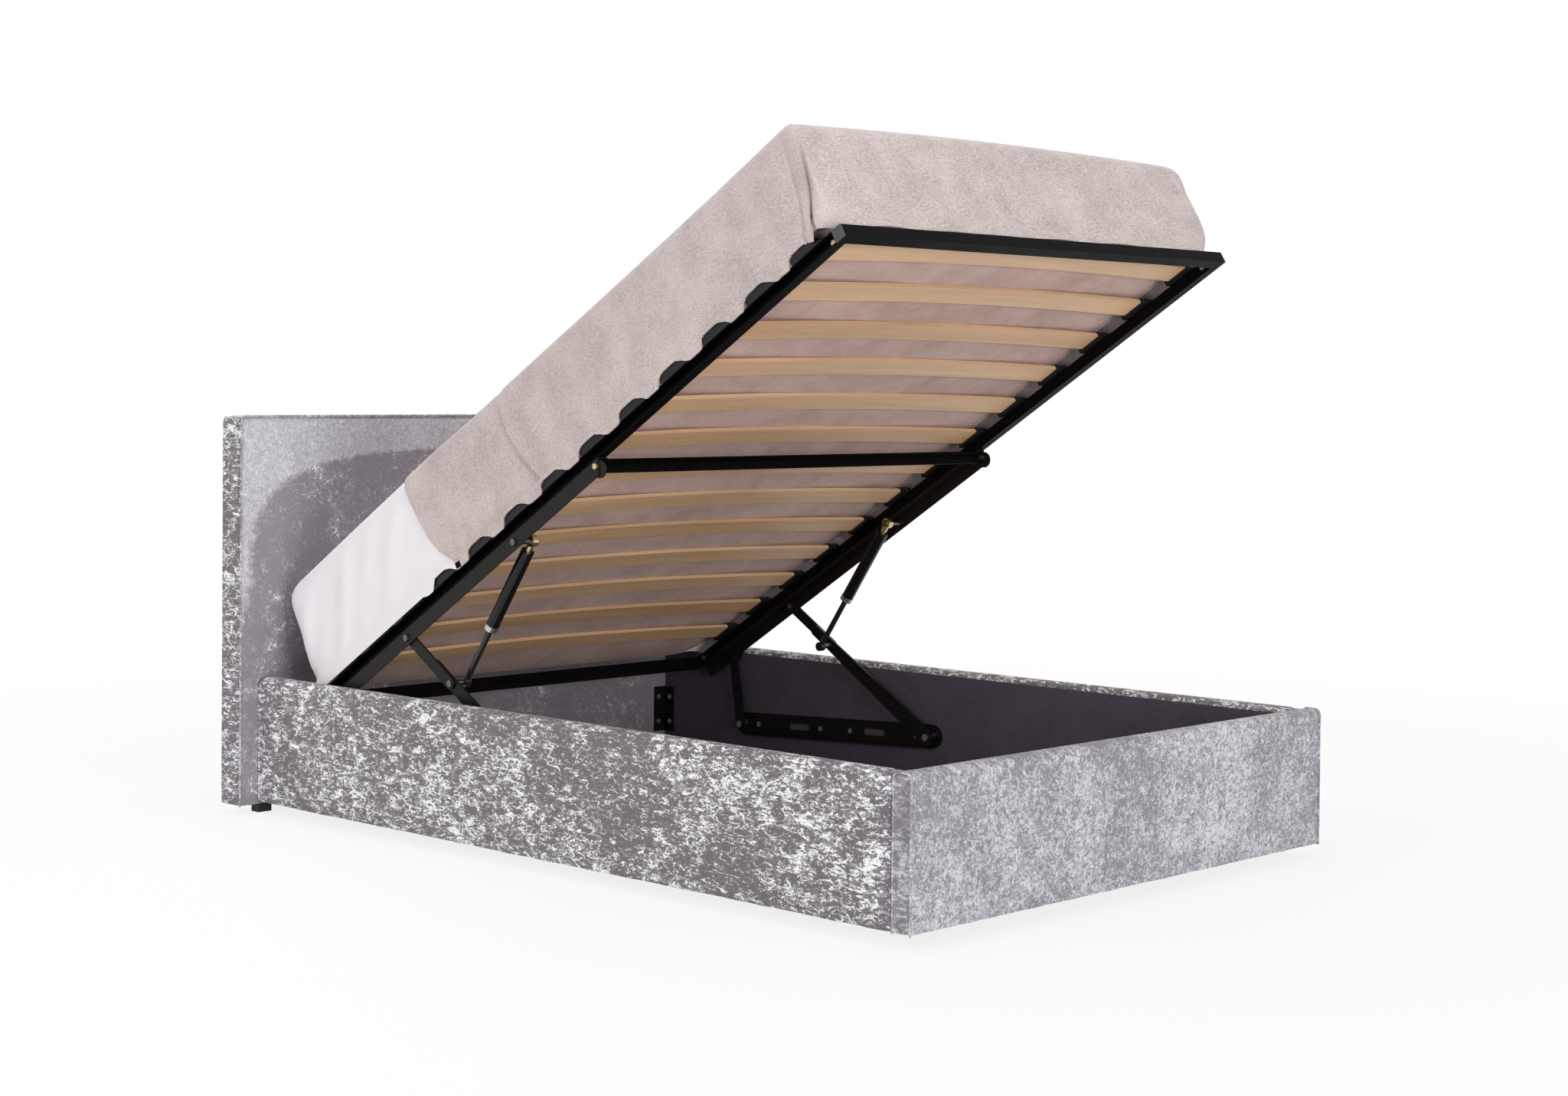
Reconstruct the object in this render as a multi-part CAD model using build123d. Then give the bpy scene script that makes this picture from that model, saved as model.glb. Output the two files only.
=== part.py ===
from build123d import *
import math
import os

# Storage bed with a lifting mattress platform, drawn open.
# X runs across the bed, the foot end is at -Y, the headboard at +Y, the floor is Z = 0.
# The origin is on the floor at the middle of the bed. All lengths are millimetres.

# Upholstered box and headboard
box_width = 1290.0
box_inner_length = 1937.0
rail_bottom = 25.0
rail_top = 310.0
board_thickness = 18.0
lining_skin = 3.0
rail_padding = 16.0
foot_padding = 27.0
foot_end_wrap = 9.0
top_padding = 6.0
rail_edge_radius = 10.0
rail_end_cut = 16.0
foot_edge_radius = 13.0
headboard_thickness = 78.0
headboard_bottom = 18.0
headboard_top = 900.0
headboard_overhang = 45.0
headboard_front_padding = 14.0
headboard_wrap = 9.0
headboard_edge_cut = 4.0
headboard_corner_radius = 12.0
piping_radius = 2.6
piping_proud = 1.5
piping_setback = 1.0
seam_width = 2.0
seam_depth = 2.0
cut_overrun = 10.0

# Floor of the box and what it stands on
ledger_width = 28.0
ledger_height = 30.0
floor_board_thickness = 6.0
floor_board_count = 4
floor_board_gap = 2.0
floor_side_gap = 1.0
batten_width = 45.0
batten_height = 24.0
batten_shares = (0.09, 0.5, 0.91)
batten_foot_radius = 24.0
batten_foot_taper = 4.0
batten_foot_share = 0.65
corner_leg_width = 35.0
corner_leg_length = 28.0
corner_leg_inset_x = 53.0
corner_leg_inset_y = 5.0

# Steel angles in the corners of the box
angle_leg = 38.0
angle_thickness = 3.0
angle_bottom = 72.0
angle_height = 116.0
angle_bolt_margin = 26.0
box_bolt_head_radius = 7.0
box_bolt_head_height = 4.0
box_bolt_shank_radius = 3.0

# Lifting platform: u runs from its foot tube to the head, v is the height above its top
platform_side_gap = 13.0
platform_head_gap = 36.0
frame_side = 25.0
frame_wall = 2.0
channel_width = 24.0
plug_thickness = 3.0
plug_stub = 12.0
tab_length = 34.0
tab_thickness = 3.0
open_angle = 32.0
open_head_back = 146.0
open_head_height = 268.0
closed_foot_gap = 6.0
closed_drop = 50.0

# Sprung slats and their holders
slat_count = 13
slat_width = 53.0
slat_thickness = 8.0
slat_first = 98.0
slat_last_back = 149.0
slat_bow = 13.0
slat_end_height = 5.0
slat_end_inset = 18.0
slat_fit = 0.3
holder_inset = 40.0
holder_wedge = 12.0
holder_socket_length = 72.0
holder_socket_height = 17.0
holder_corner_cut = 9.0
holder_foot_reach = 45.0
holder_head_reach = 42.0
holder_slope = 30.0
holder_top = 16.0
holder_blunt = 11.0

# Lift mechanism, one set at each side
web_thickness = 3.0
web_inset = 1.0
arm_depth = 32.0
arm_flange = 25.0
arm_foot_back = 1106.0
arm_end_slant = 14.0
arm_head_back = 15.0
link_thickness = 5.0
plate_thickness = 4.0
pivot_gap = 0.3
washer_thickness = 1.7
lift_pin_back = 374.0
lift_pin_drop = 42.0
strut_top_back = 795.0
strut_top_drop = 42.0
rear_pin_back = 125.0
rear_pin_drop = 55.0
rear_lug_radius = 16.0
front_pivot_height = 150.0
rear_pivot_height = 120.0
strut_pin_along = 165.0
link_width = 26.0
link_overlap = 62.0
heel_radius = 20.0
rear_link_width = 28.0
hinge_plate_width = 56.0
hinge_plate_rib = 10.0
plate_slot_length = 70.0
plate_slot_width = 16.0
plate_slot_corner = 5.0
plate_slot_shares = (0.3, 0.7)
plate_bolt_shares = (0.08, 0.42, 0.58, 0.92)
pin_radius = 5.0
pin_clearance = 0.1
pin_head_radius = 9.0
pin_head_height = 4.0
boss_radius = 10.0
washer_radius = 11.0
nut_radius = 8.0
nut_height = 6.0
link_head_height = 1.4
cross_leg = 21.0
cross_thickness = 2.5
cross_lug_radius = 18.0
cross_lug_back = 8.0
cross_bolt_back = 11.0
cross_bolt_drop = 38.0
cross_bolt_radius = 6.5
frame_bolt_radius = 6.0
frame_bolt_height = 5.0
frame_bolt_places_shares = (0.06, 0.42, 0.8)

# Gas struts
strut_offset = 50.0
cylinder_radius = 14.0
cylinder_wall = 2.0
cylinder_start = 26.0
cylinder_end = 222.0
collar_radius = 15.0
collar_length = 12.0
rod_radius = 6.5
rod_reach = 192.0
piston_radius = 11.5
piston_length = 14.0
rod_fit = 0.1
eye_radius = 11.0
eye_width = 14.0
top_stem_radius = 7.5
top_eye_radius = 12.0
stud_radius = 6.0

# Mattress and bedding on the platform
mattress_depth = 185.0
mattress_side_inset = 1.0
mattress_foot_gap = 10.0
mattress_head_overhang = 15.0
mattress_crown = 13.0
mattress_side_spare = 0.5
mattress_top_radius = 44.0
mattress_bottom_radius = 22.0
mattress_corner_radius = 60.0
mattress_waist = 4.0
soft_gap = 0.3
sheet_thickness = 1.0
bedspread_thickness = 5.0
hem_height = 19.0
bedspread_edge_back = 538.0
bedspread_edge_run = 60.0
bedspread_edge_bow = 16.0
pleat_top_u = 8.0
pleat_top_below = 12.0
pleat_bottom_u = 59.0
pleat_depth = 2.4
crease_top_back = 908.0
crease_bottom_back = 943.0
crease_width = 3.0

# Number of flats on small turned pieces
small_sides = 12
large_sides = 16

# Places worked out from the sizes
half_box = box_width / 2
rail_thickness = lining_skin + board_thickness + rail_padding
foot_thickness = lining_skin + board_thickness + foot_padding
inner_half = half_box - rail_thickness
bed_length = foot_thickness + box_inner_length + headboard_thickness
foot_face_y = -bed_length / 2
inner_foot_y = foot_face_y + foot_thickness
inner_head_y = inner_foot_y + box_inner_length
headboard_back_y = inner_head_y + headboard_thickness
headboard_half = half_box + headboard_overhang
piping_sunk = piping_radius - piping_proud
floor_z = rail_bottom + ledger_height
platform_length = box_inner_length - closed_foot_gap - platform_head_gap
half_platform = inner_half - platform_side_gap
arm_foot_end = platform_length - arm_foot_back
arm_head_end = platform_length - arm_head_back
channel_inner = half_platform - channel_width
web_outer = half_platform - web_inset
web_inner = web_outer - web_thickness
link_outer = web_inner - washer_thickness - pivot_gap
link_inner = link_outer - link_thickness
heel_inner = link_inner - link_thickness
strut_x = half_platform - strut_offset
open_head = (inner_head_y - open_head_back, open_head_height)
closed_foot = (inner_foot_y + closed_foot_gap, rail_top - closed_drop)

sides = (("right", 1), ("left", -1))
pieces = {}


def block(x_span, y_span, z_span):
    size = [span[1] - span[0] for span in (x_span, y_span, z_span)]
    middle = [(span[0] + span[1]) / 2 for span in (x_span, y_span, z_span)]
    return Pos(*middle) * Box(*size)


def apart(*shapes):
    # touching pieces kept as solids of their own in one node
    return Compound(children=[solid for shape in shapes for solid in shape.solids()])


def on_side(shape, side):
    # the pieces are drawn on the right (+X) and mirrored for the left
    return shape if side > 0 else mirror(shape, about=Plane.YZ)


def across(sketch, x_start, x_end):
    # a Y-Z outline given thickness along X
    return extrude(Plane.YZ.offset(x_start) * sketch, amount=x_end - x_start)


def round_bar(centre, radius, x_start, x_end):
    return across(Pos(*centre) * Circle(radius), x_start, x_end)


def hex_bar(centre, radius, x_start, x_end):
    return across(Pos(*centre) * RegularPolygon(radius, 6), x_start, x_end)


def flat_bar(centre, radius, x_start, x_end):
    # a small bar or hole with flats in place of a round face
    return across(Pos(*centre) * RegularPolygon(radius, small_sides, major_radius=False), x_start, x_end)


def capsule(first, second, first_radius, second_radius):
    # the outline round two circles, as a flat link is stamped
    ends = Sketch() + Pos(*first) * Circle(first_radius) + Pos(*second) * Circle(second_radius)
    return make_hull(ends.edges())


def heading(start, end):
    return math.degrees(math.atan2(end[1] - start[1], end[0] - start[0]))


def distance(start, end):
    return math.hypot(end[0] - start[0], end[1] - start[1])


def toward(start, end, length):
    share = length / distance(start, end)
    return (start[0] + (end[0] - start[0]) * share, start[1] + (end[1] - start[1]) * share)


# Motion of the platform in the Y-Z plane

def platform_point(foot, angle, u, v):
    turn = math.radians(angle)
    y = foot[0] + u * math.cos(turn) + v * math.sin(turn)
    z = foot[1] - u * math.sin(turn) + v * math.cos(turn)
    return (y, z)


open_foot = platform_point(open_head, open_angle, -platform_length, 0)


def open_point(u, v):
    return platform_point(open_foot, open_angle, u, v)


def closed_point(u, v):
    return platform_point(closed_foot, 0, u, v)


def fixed_pivot(u, v, height):
    # the point at this height that is as far from a platform point when open as when closed
    first = open_point(u, v)
    last = closed_point(u, v)
    rise = (height - last[1]) ** 2 - (height - first[1]) ** 2
    return ((last[0] ** 2 - first[0] ** 2 + rise) / (2 * (last[0] - first[0])), height)


lift_pin = (platform_length - lift_pin_back, -lift_pin_drop)
strut_top = (platform_length - strut_top_back, -strut_top_drop)
rear_pin = (platform_length - rear_pin_back, -rear_pin_drop)
front_pivot = fixed_pivot(*lift_pin, front_pivot_height)
rear_pivot = fixed_pivot(*rear_pin, rear_pivot_height)
knee_open = toward(open_point(*lift_pin), front_pivot, strut_pin_along)
knee_closed = toward(closed_point(*lift_pin), front_pivot, strut_pin_along)
strut_open = distance(open_point(*strut_top), knee_open)
strut_closed = distance(closed_point(*strut_top), knee_closed)

platform_place = Location((0, *open_foot), (-open_angle, 0, 0))
front_link_length = distance(front_pivot, open_point(*lift_pin))
front_place = Location((0, *front_pivot), (heading(front_pivot, open_point(*lift_pin)), 0, 0))
rear_link_length = distance(rear_pivot, open_point(*rear_pin))
rear_place = Location((0, *rear_pivot), (heading(rear_pivot, open_point(*rear_pin)), 0, 0))
strut_place = Location((0, *knee_open), (heading(knee_open, open_point(*strut_top)), 0, 0))


# Upholstered box

def box_bolt_places():
    # two bolts on each leg of each corner angle, as (point, direction) into the wood
    places = []
    for side in (-1, 1):
        for wall_y, inward in ((inner_foot_y, 1), (inner_head_y, -1)):
            for height in (angle_bottom + angle_bolt_margin, angle_bottom + angle_height - angle_bolt_margin):
                along = wall_y + inward * angle_bolt_margin
                places.append(((side * (inner_half - angle_thickness), along, height), (side, 0, 0)))
                out = side * (inner_half - angle_bolt_margin)
                places.append(((out, wall_y + inward * angle_thickness, height), (0, -inward, 0)))
    return places


def plate_bolt_places():
    places = []
    for side in (-1, 1):
        for share in plate_bolt_shares:
            point = toward(front_pivot, rear_pivot, distance(front_pivot, rear_pivot) * share)
            places.append(((side * (inner_half - plate_thickness), *point), (side, 0, 0)))
    return places


def bolt_shanks(places, grip):
    shanks = Part()
    for point, direction in places:
        outline = Plane(origin=point, z_dir=direction) * RegularPolygon(box_bolt_shank_radius, 6)
        shanks += extrude(outline, amount=grip)
    return shanks


def bolt_heads(places):
    heads = Part()
    for point, direction in places:
        outline = Plane(origin=point, z_dir=direction) * RegularPolygon(box_bolt_head_radius, 6)
        heads += extrude(outline, amount=-box_bolt_head_height)
    return heads


def rail_outline(top, end_y):
    outline = Polyline(
        (inner_foot_y, rail_bottom),
        (end_y, rail_bottom),
        (end_y, top),
        (inner_foot_y, top),
        close=True,
    )
    face = make_face(outline)
    corner = face.vertices().sort_by(lambda place: place.Y + place.X)[-1]
    return chamfer(corner, rail_end_cut)


def side_rail_board():
    inner = inner_half + lining_skin
    return across(rail_outline(rail_top - top_padding, inner_head_y), inner, inner + board_thickness)


def side_rail_cover():
    cover = across(rail_outline(rail_top, inner_head_y), inner_half, half_box)
    rims = [edge for edge in cover.edges() if is_upper_rim(edge)]
    return fillet(rims, rail_edge_radius) - side_rail_board()


def is_upper_rim(edge):
    # the two long top edges of a rail and the short slopes that follow them
    middle = edge.center()
    along = abs(edge.position_at(0).X - edge.position_at(1).X) < rail_thickness / 2
    return along and middle.Z > rail_top - rail_end_cut


def foot_outline(front, back, top, radius):
    outline = Polyline((front, rail_bottom), (back, rail_bottom), (back, top), (front, top), close=True)
    face = make_face(outline)
    upper = face.vertices().group_by(Axis.Y)[-1]
    return fillet(upper, radius) if radius > 0 else face


def foot_board():
    front = foot_face_y + foot_padding
    outline = foot_outline(front, front + board_thickness, rail_top - top_padding, 0)
    return across(outline, foot_end_wrap - half_box, half_box - foot_end_wrap)


def foot_piping():
    front = foot_face_y + piping_radius
    back = inner_foot_y - piping_radius - piping_setback
    top = rail_top - piping_sunk
    path = FilletPolyline(
        (front, rail_bottom),
        (front, top),
        (back, top),
        (back, rail_bottom),
        radius=foot_edge_radius - piping_sunk,
    )
    wire = Plane.YZ.offset(half_box - piping_sunk) * path
    start = Plane(origin=wire @ 0, z_dir=wire % 0)
    return sweep(start * RegularPolygon(piping_radius, 6), path=wire)


def foot_cover():
    outline = foot_outline(foot_face_y + piping_proud, inner_foot_y, rail_top, foot_edge_radius)
    cover = across(outline, -half_box, half_box) - foot_board()
    for side in (-1, 1):
        cover -= on_side(foot_piping(), side)
    return cover


def headboard_board():
    half = headboard_half - headboard_wrap
    front = inner_head_y + headboard_front_padding
    back = headboard_back_y - headboard_wrap
    return block((-half, half), (front, back), (headboard_bottom, headboard_top - headboard_wrap))


def headboard_piping():
    out = headboard_half - piping_sunk
    top = headboard_top - piping_sunk
    wire = Plane.XZ.offset(-inner_head_y - piping_sunk) * FilletPolyline(
        (-out, headboard_bottom),
        (-out, top),
        (out, top),
        (out, headboard_bottom),
        radius=headboard_corner_radius - piping_sunk,
    )
    start = Plane(origin=wire @ 0, z_dir=wire % 0)
    return sweep(start * RegularPolygon(piping_radius, 6), path=wire)


def headboard_cover():
    half = headboard_half
    face = make_face(Polyline(
        (-half, headboard_bottom),
        (half, headboard_bottom),
        (half, headboard_top),
        (-half, headboard_top),
        close=True,
    ))
    face = fillet(face.vertices().group_by(Axis.Y)[-1], headboard_corner_radius)
    cover = extrude(Plane.XZ.offset(-inner_head_y) * face, amount=-headboard_thickness)
    rear = cover.faces().sort_by(Axis.Y)[-1]
    rims = [edge for edge in rear.edges() if edge.center().Z > headboard_bottom]
    cover = chamfer(rims, headboard_edge_cut)
    seam = block(
        (-headboard_half - cut_overrun, headboard_half + cut_overrun),
        (inner_head_y - cut_overrun, inner_head_y + seam_depth),
        (rail_top, rail_top + seam_width),
    )
    return cover - headboard_board() - headboard_piping() - seam


def corner_angle(side, wall_y, inward):
    wall = side * inner_half
    outline = Polyline(
        (wall, wall_y),
        (wall - side * angle_leg, wall_y),
        (wall - side * angle_leg, wall_y + inward * angle_thickness),
        (wall - side * angle_thickness, wall_y + inward * angle_thickness),
        (wall - side * angle_thickness, wall_y + inward * angle_leg),
        (wall, wall_y + inward * angle_leg),
        close=True,
    )
    return extrude(Plane.XY.offset(angle_bottom) * make_face(outline), amount=angle_height)


def corner_angles():
    angles = Part()
    for side in (-1, 1):
        angles += corner_angle(side, inner_foot_y, 1) + corner_angle(side, inner_head_y, -1)
    return angles


def ledgers():
    timber = Part()
    for side in (-1, 1):
        span = sorted((side * inner_half, side * (inner_half - ledger_width)))
        timber += block(span, (inner_foot_y, inner_head_y), (rail_bottom, floor_z))
    return timber


def batten_centres():
    return [inner_foot_y + box_inner_length * share for share in batten_shares]


def floor_battens():
    half = inner_half - ledger_width
    timber = Part()
    for middle in batten_centres():
        span = (middle - batten_width / 2, middle + batten_width / 2)
        timber += block((-half, half), span, (floor_z - batten_height, floor_z))
    return timber


def floor_boards():
    half = inner_half - floor_side_gap
    pitch = box_inner_length / floor_board_count
    boards = Part()
    for index in range(floor_board_count):
        start = inner_foot_y + pitch * index + floor_board_gap / 2
        end = start + pitch - floor_board_gap
        boards += block((-half, half), (start, end), (floor_z, floor_z + floor_board_thickness))
    return boards


def batten_feet():
    height = floor_z - batten_height
    feet = Part()
    for middle in batten_centres():
        for side in (-1, 1):
            base = Plane(origin=(side * half_box * batten_foot_share, middle, 0))
            sole = base * RegularPolygon(batten_foot_radius, large_sides)
            top = base.offset(height) * RegularPolygon(batten_foot_radius - batten_foot_taper, large_sides)
            feet += loft([sole, top])
    return feet


def corner_legs():
    legs = Part()
    for side in (-1, 1):
        outer = side * (headboard_half - corner_leg_inset_x)
        span = sorted((outer, outer - side * corner_leg_width))
        front = inner_head_y + corner_leg_inset_y
        legs += block(span, (front, front + corner_leg_length), (0, headboard_bottom))
    return legs


# Fixed part of the lift mechanism

def hinge_plate():
    outer = inner_half
    inner = inner_half - plate_thickness
    radius = hinge_plate_width / 2
    plate = across(capsule(front_pivot, rear_pivot, radius, radius), inner, outer)
    span = distance(front_pivot, rear_pivot)
    turn = heading(front_pivot, rear_pivot)
    for share in plate_slot_shares:
        point = toward(front_pivot, rear_pivot, span * share)
        slot = Rectangle(plate_slot_length, plate_slot_width)
        slot = Pos(*point) * Rot(0, 0, turn) * chamfer(slot.vertices(), plate_slot_corner)
        plate -= across(slot, inner - cut_overrun, outer + cut_overrun)
    rib = Location((0, *front_pivot), (turn, 0, 0)) * block(
        (inner - hinge_plate_rib, inner), (0, span), (-radius, plate_thickness - radius)
    )
    return plate + rib - bolt_shanks(plate_bolt_places(), plate_thickness)


def pivot_stud(point, outer, inner):
    # a hexagon stand-off, then a pin through the link between outer and inner, with a nut on it
    root = inner_half - plate_thickness
    head = inner - pivot_gap
    stud = hex_bar(point, boss_radius, outer + pivot_gap, root)
    stud += round_bar(point, pin_radius, head, outer + pivot_gap)
    return stud + hex_bar(point, pin_head_radius, head - pin_head_height, head)


def pivot_studs():
    studs = pivot_stud(front_pivot, link_inner, heel_inner)
    return studs + pivot_stud(rear_pivot, link_outer, link_inner)


# Links

def front_link():
    # in its own line: the lower pivot is at 0, the lift pin at the link's length
    knee = front_link_length - strut_pin_along
    lower = (knee, 0)
    upper = (front_link_length, 0)
    half = link_width / 2
    bar = across(capsule(lower, upper, half, half), link_inner, link_outer)
    heel_tip = (knee + link_overlap, 0)
    heel = across(capsule((0, 0), heel_tip, heel_radius, half), heel_inner, link_inner)
    bore = pin_radius + pin_clearance
    bar -= flat_bar(upper, bore, link_inner - cut_overrun, link_outer + cut_overrun)
    heel -= flat_bar((0, 0), bore, heel_inner - cut_overrun, link_inner + cut_overrun)
    stud_hole = flat_bar(lower, stud_radius, heel_inner - cut_overrun, link_outer + cut_overrun)
    return front_place * apart(bar - stud_hole, heel - stud_hole)


def front_link_stud():
    knee = (front_link_length - strut_pin_along, 0)
    end = strut_x + eye_width / 2 + pivot_gap
    stud = flat_bar(knee, stud_radius, end, link_outer)
    stud += hex_bar(knee, nut_radius, link_outer, link_outer + link_head_height)
    stud += hex_bar(knee, nut_radius, heel_inner - nut_height, heel_inner)
    return front_place * stud


def rear_link():
    half = rear_link_width / 2
    end = (rear_link_length, 0)
    bar = across(capsule((0, 0), end, half, half), link_inner, link_outer)
    bore = pin_radius + pin_clearance
    bar -= flat_bar((0, 0), bore, link_inner - cut_overrun, link_outer + cut_overrun)
    bar += hex_bar(end, pin_head_radius, link_inner - pin_head_height, link_inner)
    return rear_place * bar


# Lifting platform

def arm_outline():
    top = -frame_side
    bottom = top - arm_depth
    return make_face(Polyline(
        (arm_foot_end, top),
        (arm_foot_end + arm_end_slant, bottom),
        (arm_head_end, bottom),
        (arm_head_end, top),
        close=True,
    ))


def lift_arm():
    top = -frame_side
    web = across(arm_outline(), web_inner, web_outer)
    lug_foot = (rear_pin[0] - arm_depth, top - arm_depth + rear_lug_radius)
    lug_head = (rear_pin[0] + arm_depth, top - arm_depth + rear_lug_radius)
    web += across(capsule(lug_foot, rear_pin, rear_lug_radius, rear_lug_radius), web_inner, web_outer)
    web += across(capsule(rear_pin, lug_head, rear_lug_radius, rear_lug_radius), web_inner, web_outer)
    flange = block(
        (web_outer - arm_flange - web_thickness, web_inner),
        (arm_foot_end, arm_head_end),
        (top - web_thickness, top),
    )
    arm = web + flange
    lug = across(Pos(*cross_lug_centre()) * Circle(cross_lug_radius), web_inner - web_thickness, web_inner)
    arm += lug
    arm += round_bar(rear_pin, washer_radius, link_outer + pivot_gap, web_inner)
    for point, radius in ((lift_pin, pin_radius), (strut_top, stud_radius), (cross_bolt(), pin_radius)):
        arm -= flat_bar(point, radius, link_inner, web_outer + cut_overrun)
    return platform_place * arm


def cross_lug_centre():
    return (arm_foot_end + cross_lug_back, -frame_side - web_thickness - pivot_gap - cross_lug_radius)


def cross_bolt():
    return (arm_foot_end + cross_bolt_back, -cross_bolt_drop)


def cross_bar():
    # an angle whose open side faces the foot
    top = -frame_side - web_thickness
    end = cross_bolt()[0] + cross_bolt_radius + cross_thickness + slat_fit
    outline = Polyline(
        (end - cross_leg, top),
        (end, top),
        (end, top - cross_leg),
        (end - cross_thickness, top - cross_leg),
        (end - cross_thickness, top - cross_thickness),
        (end - cross_leg, top - cross_thickness),
        close=True,
    )
    half = web_inner - web_thickness
    return platform_place * across(make_face(outline), -half, half)


def lift_pins():
    # pin through arm and front link: head outside, washer between, nut inside
    pins = Part()
    for side in (-1, 1):
        pin = round_bar(lift_pin, pin_radius, link_inner - pivot_gap, link_outer + pivot_gap)
        pin += flat_bar(lift_pin, pin_radius, web_inner, web_outer)
        pin += hex_bar(lift_pin, nut_radius, web_outer, web_outer + frame_bolt_height)
        pin += flat_bar(lift_pin, washer_radius, link_outer + pivot_gap, web_inner)
        pin += hex_bar(lift_pin, nut_radius, link_inner - pivot_gap - nut_height, link_inner - pivot_gap)
        pins += on_side(pin, side)
    return platform_place * pins


def strut_top_studs():
    studs = Part()
    inner = strut_x - eye_width / 2 - pivot_gap
    for side in (-1, 1):
        stud = round_bar(strut_top, stud_radius, inner, web_inner - nut_height)
        stud += flat_bar(strut_top, stud_radius, web_inner, web_outer)
        stud += hex_bar(strut_top, nut_radius, web_outer, web_outer + frame_bolt_height)
        stud += hex_bar(strut_top, nut_radius, web_inner - nut_height, web_inner)
        stud += hex_bar(strut_top, nut_radius, inner - nut_height, inner)
        studs += on_side(stud, side)
    return platform_place * studs


def side_channel():
    start = frame_side
    end = platform_length - frame_side
    outer = block((channel_inner, half_platform), (start, end), (-frame_side, 0))
    hollow = block(
        (channel_inner + frame_wall, half_platform + cut_overrun),
        (start - cut_overrun, end + cut_overrun),
        (frame_wall - frame_side, -frame_wall),
    )
    return platform_place * (outer - hollow)


def end_tube(start):
    # square tube across the platform with a welded tab in each side channel
    half = half_platform - plug_thickness
    tube = block((-half, half), (start, start + frame_side), (-frame_side, 0))
    bore = block(
        (-half - cut_overrun, half + cut_overrun),
        (start + frame_wall, start + frame_side - frame_wall),
        (frame_wall - frame_side, -frame_wall),
    )
    tube -= bore
    inward = 1 if start == 0 else -1
    root = start + frame_side if start == 0 else start
    tab_span = sorted((root, root + inward * tab_length))
    tab_height = (2 * frame_wall - frame_side, -2 * frame_wall)
    inner = channel_inner + frame_wall
    for side in (-1, 1):
        tube += block(sorted((side * inner, side * (inner + tab_thickness))), tab_span, tab_height)
    return platform_place * tube


def tube_plugs():
    plugs = Part()
    inner = 2 * frame_wall
    for start in (0, platform_length - frame_side):
        cap = block((half_platform - plug_thickness, half_platform), (start, start + frame_side), (-frame_side, 0))
        stub = block(
            (half_platform - plug_thickness - plug_stub, half_platform - plug_thickness),
            (start + inner, start + frame_side - inner),
            (inner - frame_side, -inner),
        )
        for side in (-1, 1):
            plugs += on_side(cap + stub, side)
    return platform_place * plugs


def frame_bolts():
    bolts = Part()
    tab_face = channel_inner + frame_wall + tab_thickness
    centre = -frame_side / 2
    for side in (-1, 1):
        for u in (frame_side + tab_length / 2, platform_length - frame_side - tab_length / 2):
            bolts += on_side(hex_bar((u, centre), frame_bolt_radius, tab_face, tab_face + frame_bolt_height), side)
            bolts += on_side(
                hex_bar((u, centre), frame_bolt_radius, channel_inner - frame_bolt_height, channel_inner), side
            )
        head = hex_bar(cross_bolt(), cross_bolt_radius, web_outer, web_outer + frame_bolt_height)
        head += flat_bar(cross_bolt(), pin_radius, web_inner - web_thickness, web_outer)
        nut_face = web_inner - web_thickness
        head += hex_bar(cross_bolt(), cross_bolt_radius, nut_face - nut_height, nut_face)
        bolts += on_side(head, side)
    return platform_place * bolts


def slat_places():
    pitch = (platform_length - slat_last_back - slat_first) / (slat_count - 1)
    return [slat_first + pitch * index for index in range(slat_count)]


def slat_outline():
    # a strip bowed upwards, seen along the bed
    half = half_platform - slat_end_inset
    low = slat_end_height
    high = slat_end_height + slat_thickness
    under = ThreePointArc((-half, low), (0, low + slat_bow), (half, low))
    over = ThreePointArc((half, high), (0, high + slat_bow), (-half, high))
    right = Line(under @ 1, over @ 0)
    left = Line(over @ 1, under @ 0)
    return make_face([under, right, over, left])


def slat_strip(middle):
    half = slat_width / 2
    return extrude(Plane.XZ.offset(-middle - half) * slat_outline(), amount=slat_width)


def slat_slot():
    # the slot in a holder, along the last stretch of the slat's bow
    outer = half_platform - slat_end_inset
    inner = half_platform - holder_inset - cut_overrun
    rise = slat_bow * (1 - (inner / outer) ** 2)
    low = slat_end_height - slat_fit
    high = slat_end_height + slat_thickness + slat_fit
    outline = make_face(Polyline(
        (outer + slat_fit, low),
        (outer + slat_fit, high),
        (inner, high + rise),
        (inner, low + rise),
        close=True,
    ))
    half = slat_width / 2 + slat_fit
    return extrude(Plane.XZ.offset(-half) * outline, amount=2 * half)


def holder_wedge_outline():
    return make_face(Polyline(
        (-holder_foot_reach, 0),
        (holder_head_reach, 0),
        (holder_head_reach, holder_blunt),
        (holder_slope, holder_top),
        (holder_slope - holder_foot_reach, holder_top),
        close=True,
    ))


def holder_socket_outline():
    half = holder_socket_length / 2
    outline = Polyline(
        (-half, 0), (half, 0), (half, holder_socket_height), (-half, holder_socket_height), close=True
    )
    face = make_face(outline)
    return chamfer(face.vertices().group_by(Axis.Y)[-1], holder_corner_cut)


def slat_holders():
    inner = half_platform - holder_inset
    wedge_inner = half_platform - holder_wedge
    socket = across(holder_socket_outline(), inner, wedge_inner)
    holder = socket + across(holder_wedge_outline(), wedge_inner, half_platform)
    holder -= slat_slot()
    holders = Part()
    for middle in slat_places():
        holders += Pos(0, middle, 0) * holder
    return platform_place * holders


# Gas struts, drawn along their own line from the lower pin

def strut_cylinder():
    # barrel round the strut's axis, measured from the upper pin
    barrel = strut_tube(cylinder_radius, cylinder_start, cylinder_end)
    cavity = cylinder_radius - cylinder_wall
    barrel -= strut_tube(cavity, cylinder_start + cylinder_wall, cylinder_end + cut_overrun)
    return strut_place * (barrel - strut_flats(top_stem_radius, 0, cylinder_start + cut_overrun, True))


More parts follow.
